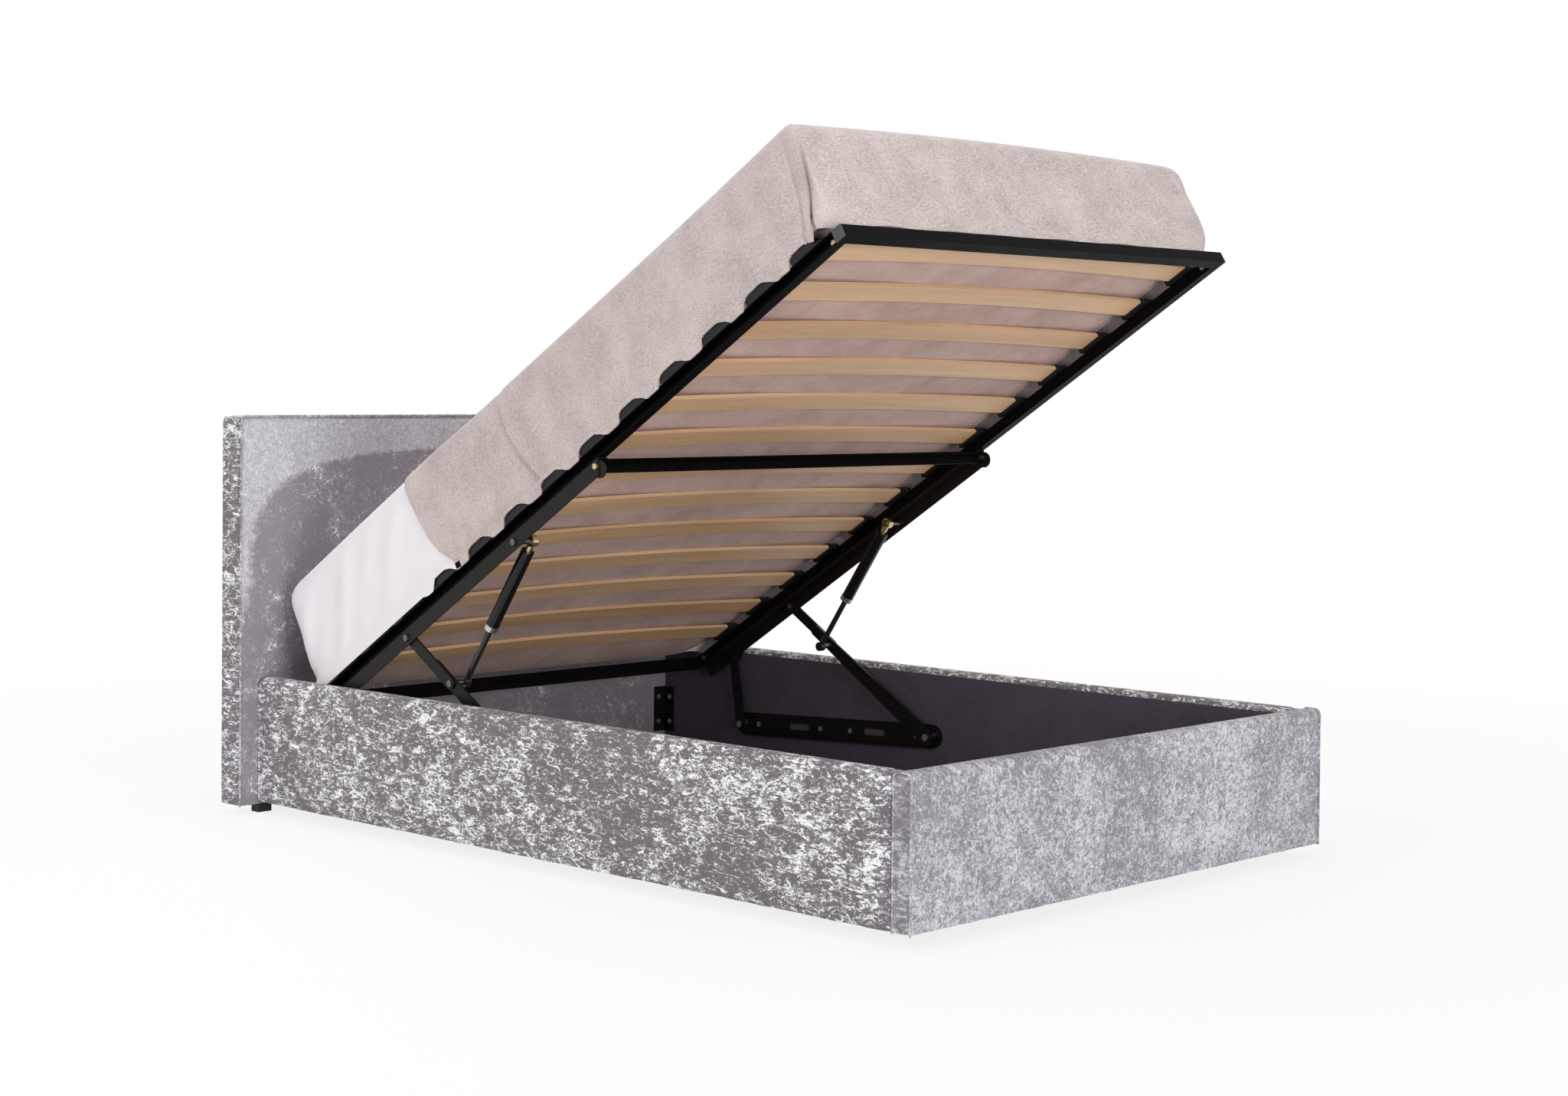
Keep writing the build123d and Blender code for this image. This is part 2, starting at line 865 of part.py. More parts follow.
def strut_tube(radius, start, end):
    place = Plane(origin=(strut_x, strut_open - start, 0), z_dir=(0, -1, 0))
    return extrude(place * Circle(radius), amount=end - start)


def strut_flats(radius, start, end, outside):
    # the same with flats: corners on the radius outside, flats on it in a hole
    place = Plane(origin=(strut_x, strut_open - start, 0), z_dir=(0, -1, 0))
    outline = RegularPolygon(radius, large_sides, major_radius=outside)
    return extrude(place * outline, amount=end - start)


def strut_collar():
    collar = strut_flats(collar_radius, cylinder_end, cylinder_end + collar_length, True)
    plug = strut_flats(cylinder_radius - cylinder_wall, cylinder_end - collar_length, cylinder_end, True)
    bore = strut_flats(rod_radius + rod_fit, cylinder_end - collar_length, cylinder_end + collar_length, False)
    return strut_place * (collar + plug - bore)


def strut_top_fitting():
    span = (strut_x - eye_width / 2, strut_x + eye_width / 2)
    eye = across(Pos(strut_open, 0) * RegularPolygon(top_eye_radius, large_sides), *span)
    stem = strut_flats(top_stem_radius, top_eye_radius - cylinder_wall, cylinder_start + cylinder_wall, True)
    return strut_place * (eye + stem - flat_bar((strut_open, 0), stud_radius, *span))


def strut_rod():
    # rod with its piston inside the barrel and its eye at the lower pin
    tip = strut_open - rod_reach
    rod = strut_tube(rod_radius, tip, strut_open - eye_radius + cylinder_wall)
    piston = strut_flats(piston_radius, tip - piston_length, tip, True)
    span = (strut_x - eye_width / 2, strut_x + eye_width / 2)
    eye = across(RegularPolygon(eye_radius, large_sides), *span)
    return strut_place * (rod + piston + eye)


# Mattress and bedding, drawn on the platform

slat_top = slat_end_height + slat_thickness + slat_bow
mattress_bottom = slat_top + soft_gap
mattress_top = mattress_bottom + mattress_depth
mattress_foot = mattress_foot_gap
mattress_head = platform_length + mattress_head_overhang
mattress_width = 2 * (half_platform - mattress_side_inset)
bedspread_edge = platform_length - bedspread_edge_back


def quarter_arc(start, centre, end):
    # a round corner from start to end about the centre
    radius = distance(centre, start)
    along = (start[0] + end[0] - 2 * centre[0], start[1] + end[1] - 2 * centre[1])
    middle = toward(centre, (centre[0] + along[0], centre[1] + along[1]), radius)
    return ThreePointArc(start, middle, end)


def bedding_section(grow, bottom, lower_radius):
    # seen along the bed: upright sides, rounded shoulders and a crowned top
    side = mattress_width / 2 + grow + mattress_side_spare
    top = mattress_top + grow
    shoulder = mattress_top_radius + grow
    flat = side - lower_radius
    right = [
        Line((side, bottom + lower_radius), (side, top - shoulder)),
        quarter_arc((side, top - shoulder), (side - shoulder, top - shoulder), (side - shoulder, top)),
    ]
    if lower_radius > 0:
        heel = bottom + lower_radius
        right.append(quarter_arc((flat, bottom), (flat, heel), (side, heel)))
    crown = ThreePointArc((side - shoulder, top), (0, top + mattress_crown), (shoulder - side, top))
    left = [mirror(edge, about=Plane.YZ) for edge in right]
    base = Line((-flat, bottom), (flat, bottom))
    return make_face([*right, crown, *left, base])


def bedding_elevation(grow, bottom):
    # seen from the side: rounded ends under the same crown
    foot = mattress_foot - grow
    head = mattress_head + grow
    top = mattress_top + grow
    shoulder = mattress_top_radius + grow
    rise = top + mattress_crown
    bend = top - shoulder
    outline = [
        Line((foot, bottom), (head, bottom)),
        Line((head, bottom), (head, bend)),
        quarter_arc((head, bend), (head - shoulder, bend), (head - shoulder, top)),
        ThreePointArc((head - shoulder, top), ((foot + head) / 2, rise), (foot + shoulder, top)),
        quarter_arc((foot + shoulder, top), (foot + shoulder, bend), (foot, bend)),
        Line((foot, bend), (foot, bottom)),
    ]
    return make_face(outline)


def bedding_plan(grow):
    # seen from above: rounded corners and sides drawn in a little between them
    half = mattress_width / 2 + grow
    foot = mattress_foot - grow
    head = mattress_head + grow
    radius = mattress_corner_radius + grow
    middle = (foot + head) / 2
    waist = half - mattress_waist
    near = foot + radius
    far = head - radius
    flat = half - radius
    outline = [
        ThreePointArc((half, near), (waist, middle), (half, far)),
        quarter_arc((half, far), (flat, far), (flat, head)),
        Line((flat, head), (-flat, head)),
        quarter_arc((-flat, head), (-flat, far), (-half, far)),
        ThreePointArc((-half, far), (-waist, middle), (-half, near)),
        quarter_arc((-half, near), (-flat, near), (-flat, foot)),
        Line((-flat, foot), (flat, foot)),
        quarter_arc((flat, foot), (flat, near), (half, near)),
    ]
    return make_face(outline)


def bedding_form(grow, bottom, lower_radius):
    width = mattress_width + 2 * cut_overrun
    along = extrude(
        Plane.XZ.offset(cut_overrun) * bedding_section(grow, bottom, lower_radius),
        amount=-mattress_head - 3 * cut_overrun,
    )
    aside = across(bedding_elevation(grow, bottom), -width / 2, width / 2)
    above = extrude(
        Plane.XY.offset(bottom) * bedding_plan(grow), amount=mattress_top + 2 * cut_overrun + mattress_crown
    )
    return along & aside & above


def mattress():
    return platform_place * bedding_form(0, mattress_bottom, mattress_bottom_radius)


def fitted_sheet():
    outer = bedding_form(soft_gap + sheet_thickness, hem_height, 0)
    inner = bedding_form(soft_gap, hem_height - cut_overrun, 0)
    return platform_place * (outer - inner)


def bedspread_reach():
    # side view of the space the bedspread covers: its head edge leans and bows
    start = -cut_overrun
    top = mattress_top + mattress_crown + cut_overrun
    low = hem_height
    bottom_u = bedspread_edge - bedspread_edge_run
    bowed = ((bedspread_edge + bottom_u) / 2 + bedspread_edge_bow, (low + mattress_top) / 2)
    edge = ThreePointArc((bottom_u, low), bowed, (bedspread_edge, mattress_top))
    return make_face([
        Line((start, low), (bottom_u, low)),
        edge,
        Line((bedspread_edge, mattress_top), (bedspread_edge, top)),
        Line((bedspread_edge, top), (start, top)),
        Line((start, top), (start, low)),
    ])


def bedspread():
    lie = 2 * soft_gap + sheet_thickness
    outer = bedding_form(lie + bedspread_thickness, hem_height, 0)
    inner = bedding_form(lie, hem_height - cut_overrun, 0)
    width = mattress_width / 2 + 2 * cut_overrun
    cloth = (outer - inner) & across(bedspread_reach(), -width, width)
    skin = mattress_width / 2 + lie + bedspread_thickness - pleat_depth
    top = mattress_top - pleat_top_below
    pleat = make_face(Polyline(
        (-cut_overrun, hem_height - cut_overrun),
        (pleat_bottom_u, hem_height - cut_overrun),
        (pleat_bottom_u, hem_height),
        (pleat_top_u, top),
        (-cut_overrun, top),
        close=True,
    ))
    crease_low = platform_length - crease_bottom_back
    crease_high = platform_length - crease_top_back
    crease = make_face(Polyline(
        (crease_low, hem_height - cut_overrun),
        (crease_low + crease_width, hem_height - cut_overrun),
        (crease_high + crease_width, top),
        (crease_high, top),
        close=True,
    ))
    for side in (-1, 1):
        for fold in (pleat, crease):
            cloth -= on_side(across(fold, skin, width), side)
    return platform_place * cloth


def add(name, shape):
    pieces[name] = shape


def build_box():
    angle_shanks = bolt_shanks(box_bolt_places(), angle_thickness)
    plate_shanks = bolt_shanks(plate_bolt_places(), plate_thickness)
    heads = bolt_heads(box_bolt_places() + plate_bolt_places())
    for name, side in sides:
        add("side_rail_board_" + name, on_side(side_rail_board(), side))
        add("side_rail_cover_" + name, on_side(side_rail_cover(), side))
        add("hinge_plate_" + name, on_side(hinge_plate(), side))
    add("pivot_studs", pivot_studs() + on_side(pivot_studs(), -1))
    add("foot_panel_board", foot_board())
    add("foot_panel_cover", foot_cover())
    add("foot_panel_piping", foot_piping() + on_side(foot_piping(), -1))
    add("headboard_board", headboard_board())
    add("headboard_cover", headboard_cover())
    add("headboard_piping", headboard_piping())
    add("corner_angles", corner_angles() - angle_shanks)
    add("box_bolts", angle_shanks + plate_shanks + heads)
    add("floor_timbers", apart(ledgers(), floor_battens()))
    add("floor_boards", floor_boards())
    add("floor_feet", batten_feet())
    add("headboard_legs", corner_legs())


def build_platform():
    add("foot_tube", end_tube(0))
    add("head_tube", end_tube(platform_length - frame_side))
    add("tube_plugs", tube_plugs())
    add("cross_bar", cross_bar())
    add("frame_bolts", frame_bolts())
    add("lift_arm_pins", lift_pins() + strut_top_studs())
    for name, side in sides:
        add("side_channel_" + name, on_side(side_channel(), side))
        add("lift_arm_" + name, on_side(lift_arm(), side))
    add("slat_holders", slat_holders() + on_side(slat_holders(), -1))
    for index, middle in enumerate(slat_places()):
        add("slat_%02d" % (index + 1), platform_place * slat_strip(middle))
    add("mattress", mattress())
    add("fitted_sheet", fitted_sheet())
    add("bedspread", bedspread())


def build_links():
    for name, side in sides:
        add("front_link_" + name, on_side(front_link(), side))
        add("front_link_stud_" + name, on_side(front_link_stud(), side))
        add("rear_link_" + name, on_side(rear_link(), side))
        add("strut_cylinder_" + name, on_side(strut_cylinder(), side))
        add("strut_collar_" + name, on_side(strut_collar(), side))
        add("strut_top_fitting_" + name, on_side(strut_top_fitting(), side))
        add("strut_rod_" + name, on_side(strut_rod(), side))


build_box()
build_platform()
build_links()

os.makedirs("parts", exist_ok=True)
for name, shape in pieces.items():
    export_step(shape, "parts/" + name + ".step")

print("front pivot", front_pivot, "rear pivot", rear_pivot)
print("lift pin", open_point(*lift_pin), "rear pin", open_point(*rear_pin), "strut top", open_point(*strut_top))
print("strut length open", strut_open, "closed", strut_closed)
print(len(pieces), "pieces")
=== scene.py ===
import math

import bmesh
import bpy
from mathutils import Matrix, Vector, noise


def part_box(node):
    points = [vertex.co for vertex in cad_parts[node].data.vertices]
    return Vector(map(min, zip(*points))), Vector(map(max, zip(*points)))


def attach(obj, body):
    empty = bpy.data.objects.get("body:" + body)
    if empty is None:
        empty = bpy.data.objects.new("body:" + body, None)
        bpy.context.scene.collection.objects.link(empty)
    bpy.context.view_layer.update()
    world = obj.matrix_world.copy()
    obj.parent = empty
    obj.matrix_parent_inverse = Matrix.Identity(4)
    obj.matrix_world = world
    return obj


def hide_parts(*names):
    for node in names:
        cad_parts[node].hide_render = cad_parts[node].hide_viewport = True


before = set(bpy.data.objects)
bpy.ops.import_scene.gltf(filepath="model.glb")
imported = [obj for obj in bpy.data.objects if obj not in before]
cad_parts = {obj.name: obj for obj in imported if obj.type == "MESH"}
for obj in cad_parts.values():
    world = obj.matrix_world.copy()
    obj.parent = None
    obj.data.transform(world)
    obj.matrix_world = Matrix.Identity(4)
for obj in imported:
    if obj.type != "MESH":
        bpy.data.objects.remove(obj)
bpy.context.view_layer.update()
print("stage: frame loaded")


def clearSelection():
    bpy.ops.object.select_all(action="DESELECT")


def takeOnly(piece):
    clearSelection()
    piece.select_set(True)
    bpy.context.view_layer.objects.active = piece


def selectParts(piece, kind, test):
    # goes into edit mode with the faces or edges that pass the test selected
    takeOnly(piece)
    bpy.ops.object.mode_set(mode="EDIT")
    bpy.ops.mesh.select_mode(type=kind)
    bpy.ops.mesh.select_all(action="DESELECT")
    bm = bmesh.from_edit_mesh(piece.data)
    for part in bm.faces if kind == "FACE" else bm.edges:
        part.select = test(part)
    bmesh.update_edit_mesh(piece.data)


def subdivideParts(piece, kind, test, cuts):
    selectParts(piece, kind, test)
    bpy.ops.mesh.subdivide(number_cuts=cuts)
    bpy.ops.object.mode_set(mode="OBJECT")


def subdivideAlong(piece, axis, cuts):
    # splits every edge that runs along one axis
    straight = 0.98

    def runsAlong(edge):
        run = edge.verts[1].co - edge.verts[0].co
        return abs(run[axis]) > straight * run.length

    subdivideParts(piece, "EDGE", runsAlong, cuts)


def cutAway(piece, point, normal):
    # cuts off what lies beyond a plane
    takeOnly(piece)
    bpy.ops.object.mode_set(mode="EDIT")
    bpy.ops.mesh.select_all(action="SELECT")
    bpy.ops.mesh.bisect(plane_co=point, plane_no=normal, clear_outer=True, use_fill=False)
    bpy.ops.object.mode_set(mode="OBJECT")


def gridBlock(name, low, high, step):
    # a cube at its size, split into a grid of about one step
    middle = [(a + b) / 2 for a, b in zip(low, high)]
    size = [b - a for a, b in zip(low, high)]
    clearSelection()
    bpy.ops.mesh.primitive_cube_add(size=1, location=middle)
    piece = bpy.context.object
    piece.name = name
    piece.scale = size
    bpy.ops.object.transform_apply(location=True, rotation=True, scale=True)
    for axis in range(3):
        subdivideAlong(piece, axis, max(1, round(size[axis] / step[axis]) - 1))
    return piece


def roundBlock(piece, low, high, topRadius, lowRadius, planRadius):
    # rolls the top and bottom edges over, and turns the upright corners into even arcs
    middle = (Vector(low) + Vector(high)) / 2
    half = (Vector(high) - Vector(low)) / 2
    for vert in piece.data.vertices:
        p = vert.co - middle
        radius = topRadius if p.z > 0 else lowRadius
        inset = min(half.x - abs(p.x), half.y - abs(p.y))
        drop = half.z - abs(p.z)
        newInset = inset
        if inset < radius and drop < radius:
            reach = math.hypot(radius - inset, radius - drop)
            newInset = radius - (radius - inset) * radius / reach
            p.z = math.copysign(half.z - radius + (radius - drop) * radius / reach, p.z)
        aside, ahead = abs(p.x) - half.x + planRadius, abs(p.y) - half.y + planRadius
        if aside > 0 and ahead > 0:
            turn = math.pi / 4 * (ahead / aside if aside > ahead else 2 - aside / ahead)
            core = max(planRadius, newInset)
            arc = max(0.0, planRadius - newInset)
            place = (half.x - core + arc * math.cos(turn), half.y - core + arc * math.sin(turn))
            p.x, p.y = math.copysign(place[0], p.x), math.copysign(place[1], p.y)
        elif half.x - abs(p.x) < half.y - abs(p.y):
            p.x = math.copysign(half.x - newInset, p.x)
        else:
            p.y = math.copysign(half.y - newInset, p.y)
        vert.co = p + middle


def ripple(x, y, z, size, seed):
    return noise.noise(Vector((x / size + seed, y / size - seed, z / size + 2 * seed)))


def smoothStep(low, high, value):
    t = max(0.0, min(1.0, (value - low) / (high - low)))
    return t * t * (3 - 2 * t)


hair = 1e-5  # a shorter distance counts as none


def bell(offset, width):
    return math.exp(-(offset / width) ** 2)


def lineAt(points, v):
    # second value of a line of points at v, where the first values fall; straight between the points
    if v >= points[0][0]:
        return points[0][1]
    for (v0, u0), (v1, u1) in zip(points, points[1:]):
        if v >= v1:
            return u0 + (u1 - u0) * (v0 - v) / (v0 - v1)
    return points[-1][1]


def shadeSoft(piece, angle):
    takeOnly(piece)
    bpy.ops.object.shade_smooth_by_angle(angle=math.radians(angle))


def setMaterials(piece, *materials):
    piece.data.materials.clear()
    for material in materials:
        piece.data.materials.append(material)


def newGroup(name, inputs, outputs):
    # every group takes a vector and plain numbers, and gives plain numbers
    group = bpy.data.node_groups.new(name, "ShaderNodeTree")
    group.interface.new_socket("Vector", in_out="INPUT", socket_type="NodeSocketVector")
    for label, value in inputs.items():
        socket = group.interface.new_socket(label, in_out="INPUT", socket_type="NodeSocketFloat")
        socket.default_value = value
    for label in outputs:
        group.interface.new_socket(label, in_out="OUTPUT", socket_type="NodeSocketFloat")
    return group, group.nodes.new("NodeGroupInput"), group.nodes.new("NodeGroupOutput")


def addNode(tree, kind, **values):
    node = tree.nodes.new(kind)
    for key, value in values.items():
        setattr(node, key, value)
    return node


def setInputs(node, values):
    for label, value in values.items():
        node.inputs[label].default_value = value


def plug(tree, socket, value):
    # a socket takes a plain value, a colour or another node's output
    if isinstance(value, (int, float)):
        socket.default_value = value
    elif isinstance(value, tuple):
        socket.default_value = (*value, 1)
    else:
        tree.links.new(value, socket)


def colourRamp(tree, factor, stops):
    ramp = addNode(tree, "ShaderNodeValToRGB")
    while len(ramp.color_ramp.elements) < len(stops):
        ramp.color_ramp.elements.new(0.5)
    for element, (place, colour) in zip(ramp.color_ramp.elements, stops):
        element.position = place
        element.color = (*colour, 1)
    tree.links.new(factor, ramp.inputs["Fac"])
    return ramp.outputs["Color"]


def twoTone(tree, factor, ends, look):
    return colourRamp(tree, factor, list(zip(ends, (look["low"], look["high"]))))


def greyRamp(tree, factor, low, high):
    return colourRamp(tree, factor, [(0.0, (low, low, low)), (1.0, (high, high, high))])


def noiseNode(tree, vector, scale, detail=4, roughness=0.6, distortion=0.0):
    node = addNode(tree, "ShaderNodeTexNoise")
    setInputs(node, {"Scale": scale, "Detail": detail, "Roughness": roughness, "Distortion": distortion})
    tree.links.new(vector, node.inputs["Vector"])
    return node.outputs["Fac"]


def mappedVector(tree, vector, turn=(0, 0, 0), stretch=(1, 1, 1)):
    mapping = addNode(tree, "ShaderNodeMapping")
    setInputs(mapping, {"Rotation": turn, "Scale": stretch})
    tree.links.new(vector, mapping.inputs["Vector"])
    return mapping.outputs[0]


def mathNode(tree, operation, *values):
    node = addNode(tree, "ShaderNodeMath", operation=operation)
    for socket, value in zip(node.inputs, values):
        plug(tree, socket, value)
    return node.outputs[0]


def clampNode(tree, value):
    node = addNode(tree, "ShaderNodeClamp")
    tree.links.new(value, node.inputs["Value"])
    return node.outputs[0]


def mixColour(tree, factor, first, second):
    node = addNode(tree, "ShaderNodeMix", data_type="RGBA")
    plug(tree, node.inputs["Factor"], factor)
    plug(tree, node.inputs[6], first)
    plug(tree, node.inputs[7], second)
    return node.outputs[2]


crushDims = {
    "sockets": {"Balance": 0.0, "Contrast": 5.0, "Drift": 1.6},
    "turns": ((0.7, 0.7, 0.7), (-0.7, -0.6, -0.8)), "stretch": (1.0, 0.4, 1.0),
    "stroke": {"scale": 108.0, "detail": 3, "distortion": 1.2},
    "fine": {"scale": 310.0, "detail": 2, "roughness": 0.5, "distortion": 0.6},
    "patch": {"scale": 26.0, "roughness": 0.62, "distortion": 0.7},
    "broad": {"scale": 5.5, "detail": 3, "roughness": 0.55, "distortion": 0.5},
    "strokeShare": 0.8, "fineShare": 0.25, "middle": 0.59,
}


def makeCrushGroup():
    # crushed pile: short bright strokes lying over each other among darker upright pile
    dims = crushDims
    group, start, end = newGroup("crushedPile", dims["sockets"], ("Mask", "Height"))
    place = start.outputs["Vector"]
    strokes = [noiseNode(group, mappedVector(group, place, turn, dims["stretch"]), **dims["stroke"])
               for turn in dims["turns"]]
    strong = mathNode(group, "MULTIPLY", mathNode(group, "MAXIMUM", *strokes), dims["strokeShare"])
    fine = mathNode(group, "MULTIPLY", noiseNode(group, place, **dims["fine"]), dims["fineShare"])
    patch = noiseNode(group, place, **dims["patch"])
    broad = noiseNode(group, place, **dims["broad"])
    flecks = mathNode(group, "ADD", strong, fine)
    level = mathNode(group, "SUBTRACT", flecks, dims["middle"])
    level = mathNode(group, "MULTIPLY", level, start.outputs["Contrast"])
    drift = mathNode(group, "SUBTRACT", mathNode(group, "ADD", patch, broad), 1.0)
    drift = mathNode(group, "MULTIPLY", drift, start.outputs["Drift"])
    total = mathNode(group, "ADD", mathNode(group, "ADD", level, drift), start.outputs["Balance"])
    group.links.new(clampNode(group, mathNode(group, "ADD", total, 0.5)), end.inputs["Mask"])
    group.links.new(flecks, end.inputs["Height"])
    return group


arcDims = {
    "sockets": {"HalfWidth": 0.667, "Base": 0.52, "Rise": 0.3, "Shape": 3.4, "Flare": 0.22},
    "edge": 1.17, "sharpness": 9.0,
    "ragged": {"scale": 60.0, "distortion": 0.5}, "raggedShare": 0.35,
}


def makeArcGroup():
    # inside of a wide flat-topped arc drawn on the headboard's front: painted shadow of the raised mattress
    dims = arcDims
    group, start, end = newGroup("brushedArc", dims["sockets"], ("Mask",))
    place = start.outputs["Vector"]
    parts = addNode(group, "ShaderNodeSeparateXYZ")
    group.links.new(place, parts.inputs[0])
    rise = mathNode(group, "SUBTRACT", parts.outputs["Z"], start.outputs["Base"])
    above = mathNode(group, "MAXIMUM", rise, 0.0)
    below = mathNode(group, "MAXIMUM", mathNode(group, "MULTIPLY", rise, -1.0), 0.0)
    flare = mathNode(group, "MULTIPLY", below, start.outputs["Flare"])
    width = mathNode(group, "ADD", start.outputs["HalfWidth"], flare)
    across = mathNode(group, "DIVIDE", mathNode(group, "ABSOLUTE", parts.outputs["X"]), width)
    above = mathNode(group, "DIVIDE", above, start.outputs["Rise"])
    powers = [mathNode(group, "POWER", value, start.outputs["Shape"]) for value in (across, above)]
    ragged = mathNode(group, "MULTIPLY", noiseNode(group, place, **dims["ragged"]), dims["raggedShare"])
    outside = mathNode(group, "ADD", mathNode(group, "ADD", *powers), ragged)
    inside = mathNode(group, "SUBTRACT", dims["edge"], outside)
    sharp = mathNode(group, "MULTIPLY", inside, dims["sharpness"])
    group.links.new(clampNode(group, mathNode(group, "ADD", sharp, 0.5)), end.inputs["Mask"])
    return group


def scaledPlace(group, start, label):
    scaled = addNode(group, "ShaderNodeVectorMath", operation="SCALE")
    group.links.new(start.outputs["Vector"], scaled.inputs[0])
    group.links.new(start.outputs[label], scaled.inputs["Scale"])
    return scaled.outputs[0]


weaveDims = {
    "stretches": ((1.0, 0.18, 1.0), (0.18, 1.0, 0.35)), "thread": {"scale": 1.0, "detail": 3},
    "slow": {"scale": 0.014}, "slowShare": 0.5, "middle": 0.75,
}


def makeWeaveGroup():
    # plain weave with slubs: threads both ways, flecks where they lie doubled, and a slow change of tone
    dims = weaveDims
    group, start, end = newGroup("slubWeave", {"Threads": 700.0}, ("Tone", "Height"))
    place = scaledPlace(group, start, "Threads")
    tones = [noiseNode(group, mappedVector(group, place, stretch=stretch), **dims["thread"])
             for stretch in dims["stretches"]]
    threads = mathNode(group, "ADD", *tones)
    slow = mathNode(group, "MULTIPLY", noiseNode(group, place, **dims["slow"]), dims["slowShare"])
    tone = mathNode(group, "SUBTRACT", mathNode(group, "ADD", threads, slow), dims["middle"])
    group.links.new(tone, end.inputs["Tone"])
    group.links.new(threads, end.inputs["Height"])
    return group


grainDims = {
    "bandStretch": (1.2, 26.0, 26.0), "bands": {"scale": 1.0, "roughness": 0.55, "distortion": 0.8},
    "poreStretch": (6.0, 420.0, 420.0), "pores": {"scale": 1.0, "detail": 2, "roughness": 0.5},
    "bandShare": 0.7, "poreShare": 0.3,
}


def makeGrainGroup():
    # wood grain along X with pores and slow bands
    dims = grainDims
    group, start, end = newGroup("woodGrain", {"Scale": 1.0}, ("Tone", "Pores"))
    place = scaledPlace(group, start, "Scale")
    bands = noiseNode(group, mappedVector(group, place, stretch=dims["bandStretch"]), **dims["bands"])
    pores = noiseNode(group, mappedVector(group, place, stretch=dims["poreStretch"]), **dims["pores"])
    shares = [mathNode(group, "MULTIPLY", bands, dims["bandShare"]),
              mathNode(group, "MULTIPLY", pores, dims["poreShare"])]
    group.links.new(mathNode(group, "ADD", *shares), end.inputs["Tone"])
    group.links.new(pores, end.inputs["Pores"])
    return group


crushGroup = makeCrushGroup()
arcGroup = makeArcGroup()
weaveGroup = makeWeaveGroup()
grainGroup = makeGrainGroup()


def newMaterial(name, values):
    material = bpy.data.materials.new(name)
    material.use_nodes = True
    tree = material.node_tree
    shader = tree.nodes["Principled BSDF"]
    setInputs(shader, values)
    return material, tree, shader, addNode(tree, "ShaderNodeTexCoord").outputs["Object"]


def dress(tree, shader, colour, roughness, height, bump, depth):
    # colour, roughness and bump of a material
    node = addNode(tree, "ShaderNodeBump")
    setInputs(node, {"Strength": bump, "Distance": depth})
    tree.links.new(height, node.inputs["Height"])
    tree.links.new(colour, shader.inputs["Base Color"])
    tree.links.new(roughness, shader.inputs["Roughness"])
    tree.links.new(node.outputs["Normal"], shader.inputs["Normal"])


def useGroup(tree, group, vector, **values):
    node = addNode(tree, "ShaderNodeGroup", node_tree=group)
    tree.links.new(vector, node.inputs["Vector"])
    setInputs(node, values)
    return node


# one crushed velvet in copies that differ by how the light falls on each face
velvetLooks = {
    # painted shade and painted sheen: the darker copy with brighter strokes, for faces turned to the sides
    "velvetRail": {
        "balance": 0.04, "contrast": 8.0, "drift": 1.8,
        "stops": ((0.0, (0.13, 0.115, 0.125)), (0.3, (0.19, 0.175, 0.185)), (0.6, (0.38, 0.365, 0.38)),
                  (1.0, (0.86, 0.85, 0.875))),
    },
    # painted light: the lighter copy for faces turned to the front
    "velvetFoot": {
        "balance": 0.08, "contrast": 6.2, "drift": 1.4,
        "stops": ((0.0, (0.19, 0.183, 0.20)), (0.4, (0.315, 0.307, 0.333)), (1.0, (0.56, 0.553, 0.60))),
    },
    "velvetHead": {
        "balance": 0.0, "contrast": 3.6, "drift": 0.55,
        "stops": ((0.0, (0.33, 0.32, 0.34)), (0.45, (0.45, 0.44, 0.462)), (1.0, (0.64, 0.64, 0.67))),
    },
    # painted shade: the darker copy for the foot panel's ends, turned to the sides
    "velvetEdge": {
        "balance": 0.05, "contrast": 5.0, "drift": 2.0,
        "stops": ((0.0, (0.17, 0.158, 0.172)), (0.45, (0.295, 0.28, 0.30)), (1.0, (0.58, 0.563, 0.60))),
    },
}
# painted shadow inside the arc: darker velvet with less contrast
arcShadowLook = {
    "balance": -0.35, "contrast": 5.4, "drift": 2.4,
    "stops": ((0.0, (0.21, 0.186, 0.21)), (0.35, (0.27, 0.246, 0.275)), (0.7, (0.32, 0.302, 0.33)),
              (1.0, (0.78, 0.775, 0.80))),
}
velvetDims = {"sheen": 0.1, "gloss": (0.72, 0.48), "bump": 0.35, "bumpDepth": 0.002}


def crushColour(tree, place, look):
    crush = useGroup(tree, crushGroup, place, Balance=look["balance"], Contrast=look["contrast"],
                     Drift=look["drift"])
    return crush, colourRamp(tree, crush.outputs["Mask"], look["stops"])


def makeVelvet(name, look, shadowLook=None):
    dims = velvetDims
    material, tree, shader, place = newMaterial(name, {"Sheen Weight": dims["sheen"]})
    crush, colour = crushColour(tree, place, look)
    if shadowLook:
        # painted shadow of the mattress inside the arc on the headboard
        inside = useGroup(tree, arcGroup, place).outputs["Mask"]
        colour = mixColour(tree, inside, colour, crushColour(tree, place, shadowLook)[1])
    roughness = greyRamp(tree, crush.outputs["Mask"], *dims["gloss"])
    dress(tree, shader, colour, roughness, crush.outputs["Height"], dims["bump"], dims["bumpDepth"])
    return material


clothLooks = {
    "bedspreadLinen": {
        "low": (0.31, 0.262, 0.25), "high": (0.635, 0.54, 0.518), "threads": 800.0, "bump": 0.4,
        "turn": 32.0,
    },
    "sheetCotton": {
        "low": (0.725, 0.692, 0.72), "high": (0.765, 0.735, 0.758), "threads": 1500.0, "bump": 0.12,
        "turn": 32.0,
    },
    # very dark purple-grey cloth on the inward faces of the box and the headboard's back
    "liningCloth": {
        "low": (0.042, 0.033, 0.052), "high": (0.072, 0.057, 0.088), "threads": 900.0, "bump": 0.25,
    },
    "floorCloth": {"low": (0.23, 0.22, 0.23), "high": (0.33, 0.31, 0.33), "threads": 700.0, "bump": 0.3},
}
clothDims = {"sheen": 0.1, "ends": (0.25, 0.75), "gloss": (0.96, 0.82), "bumpDepth": 0.0006}


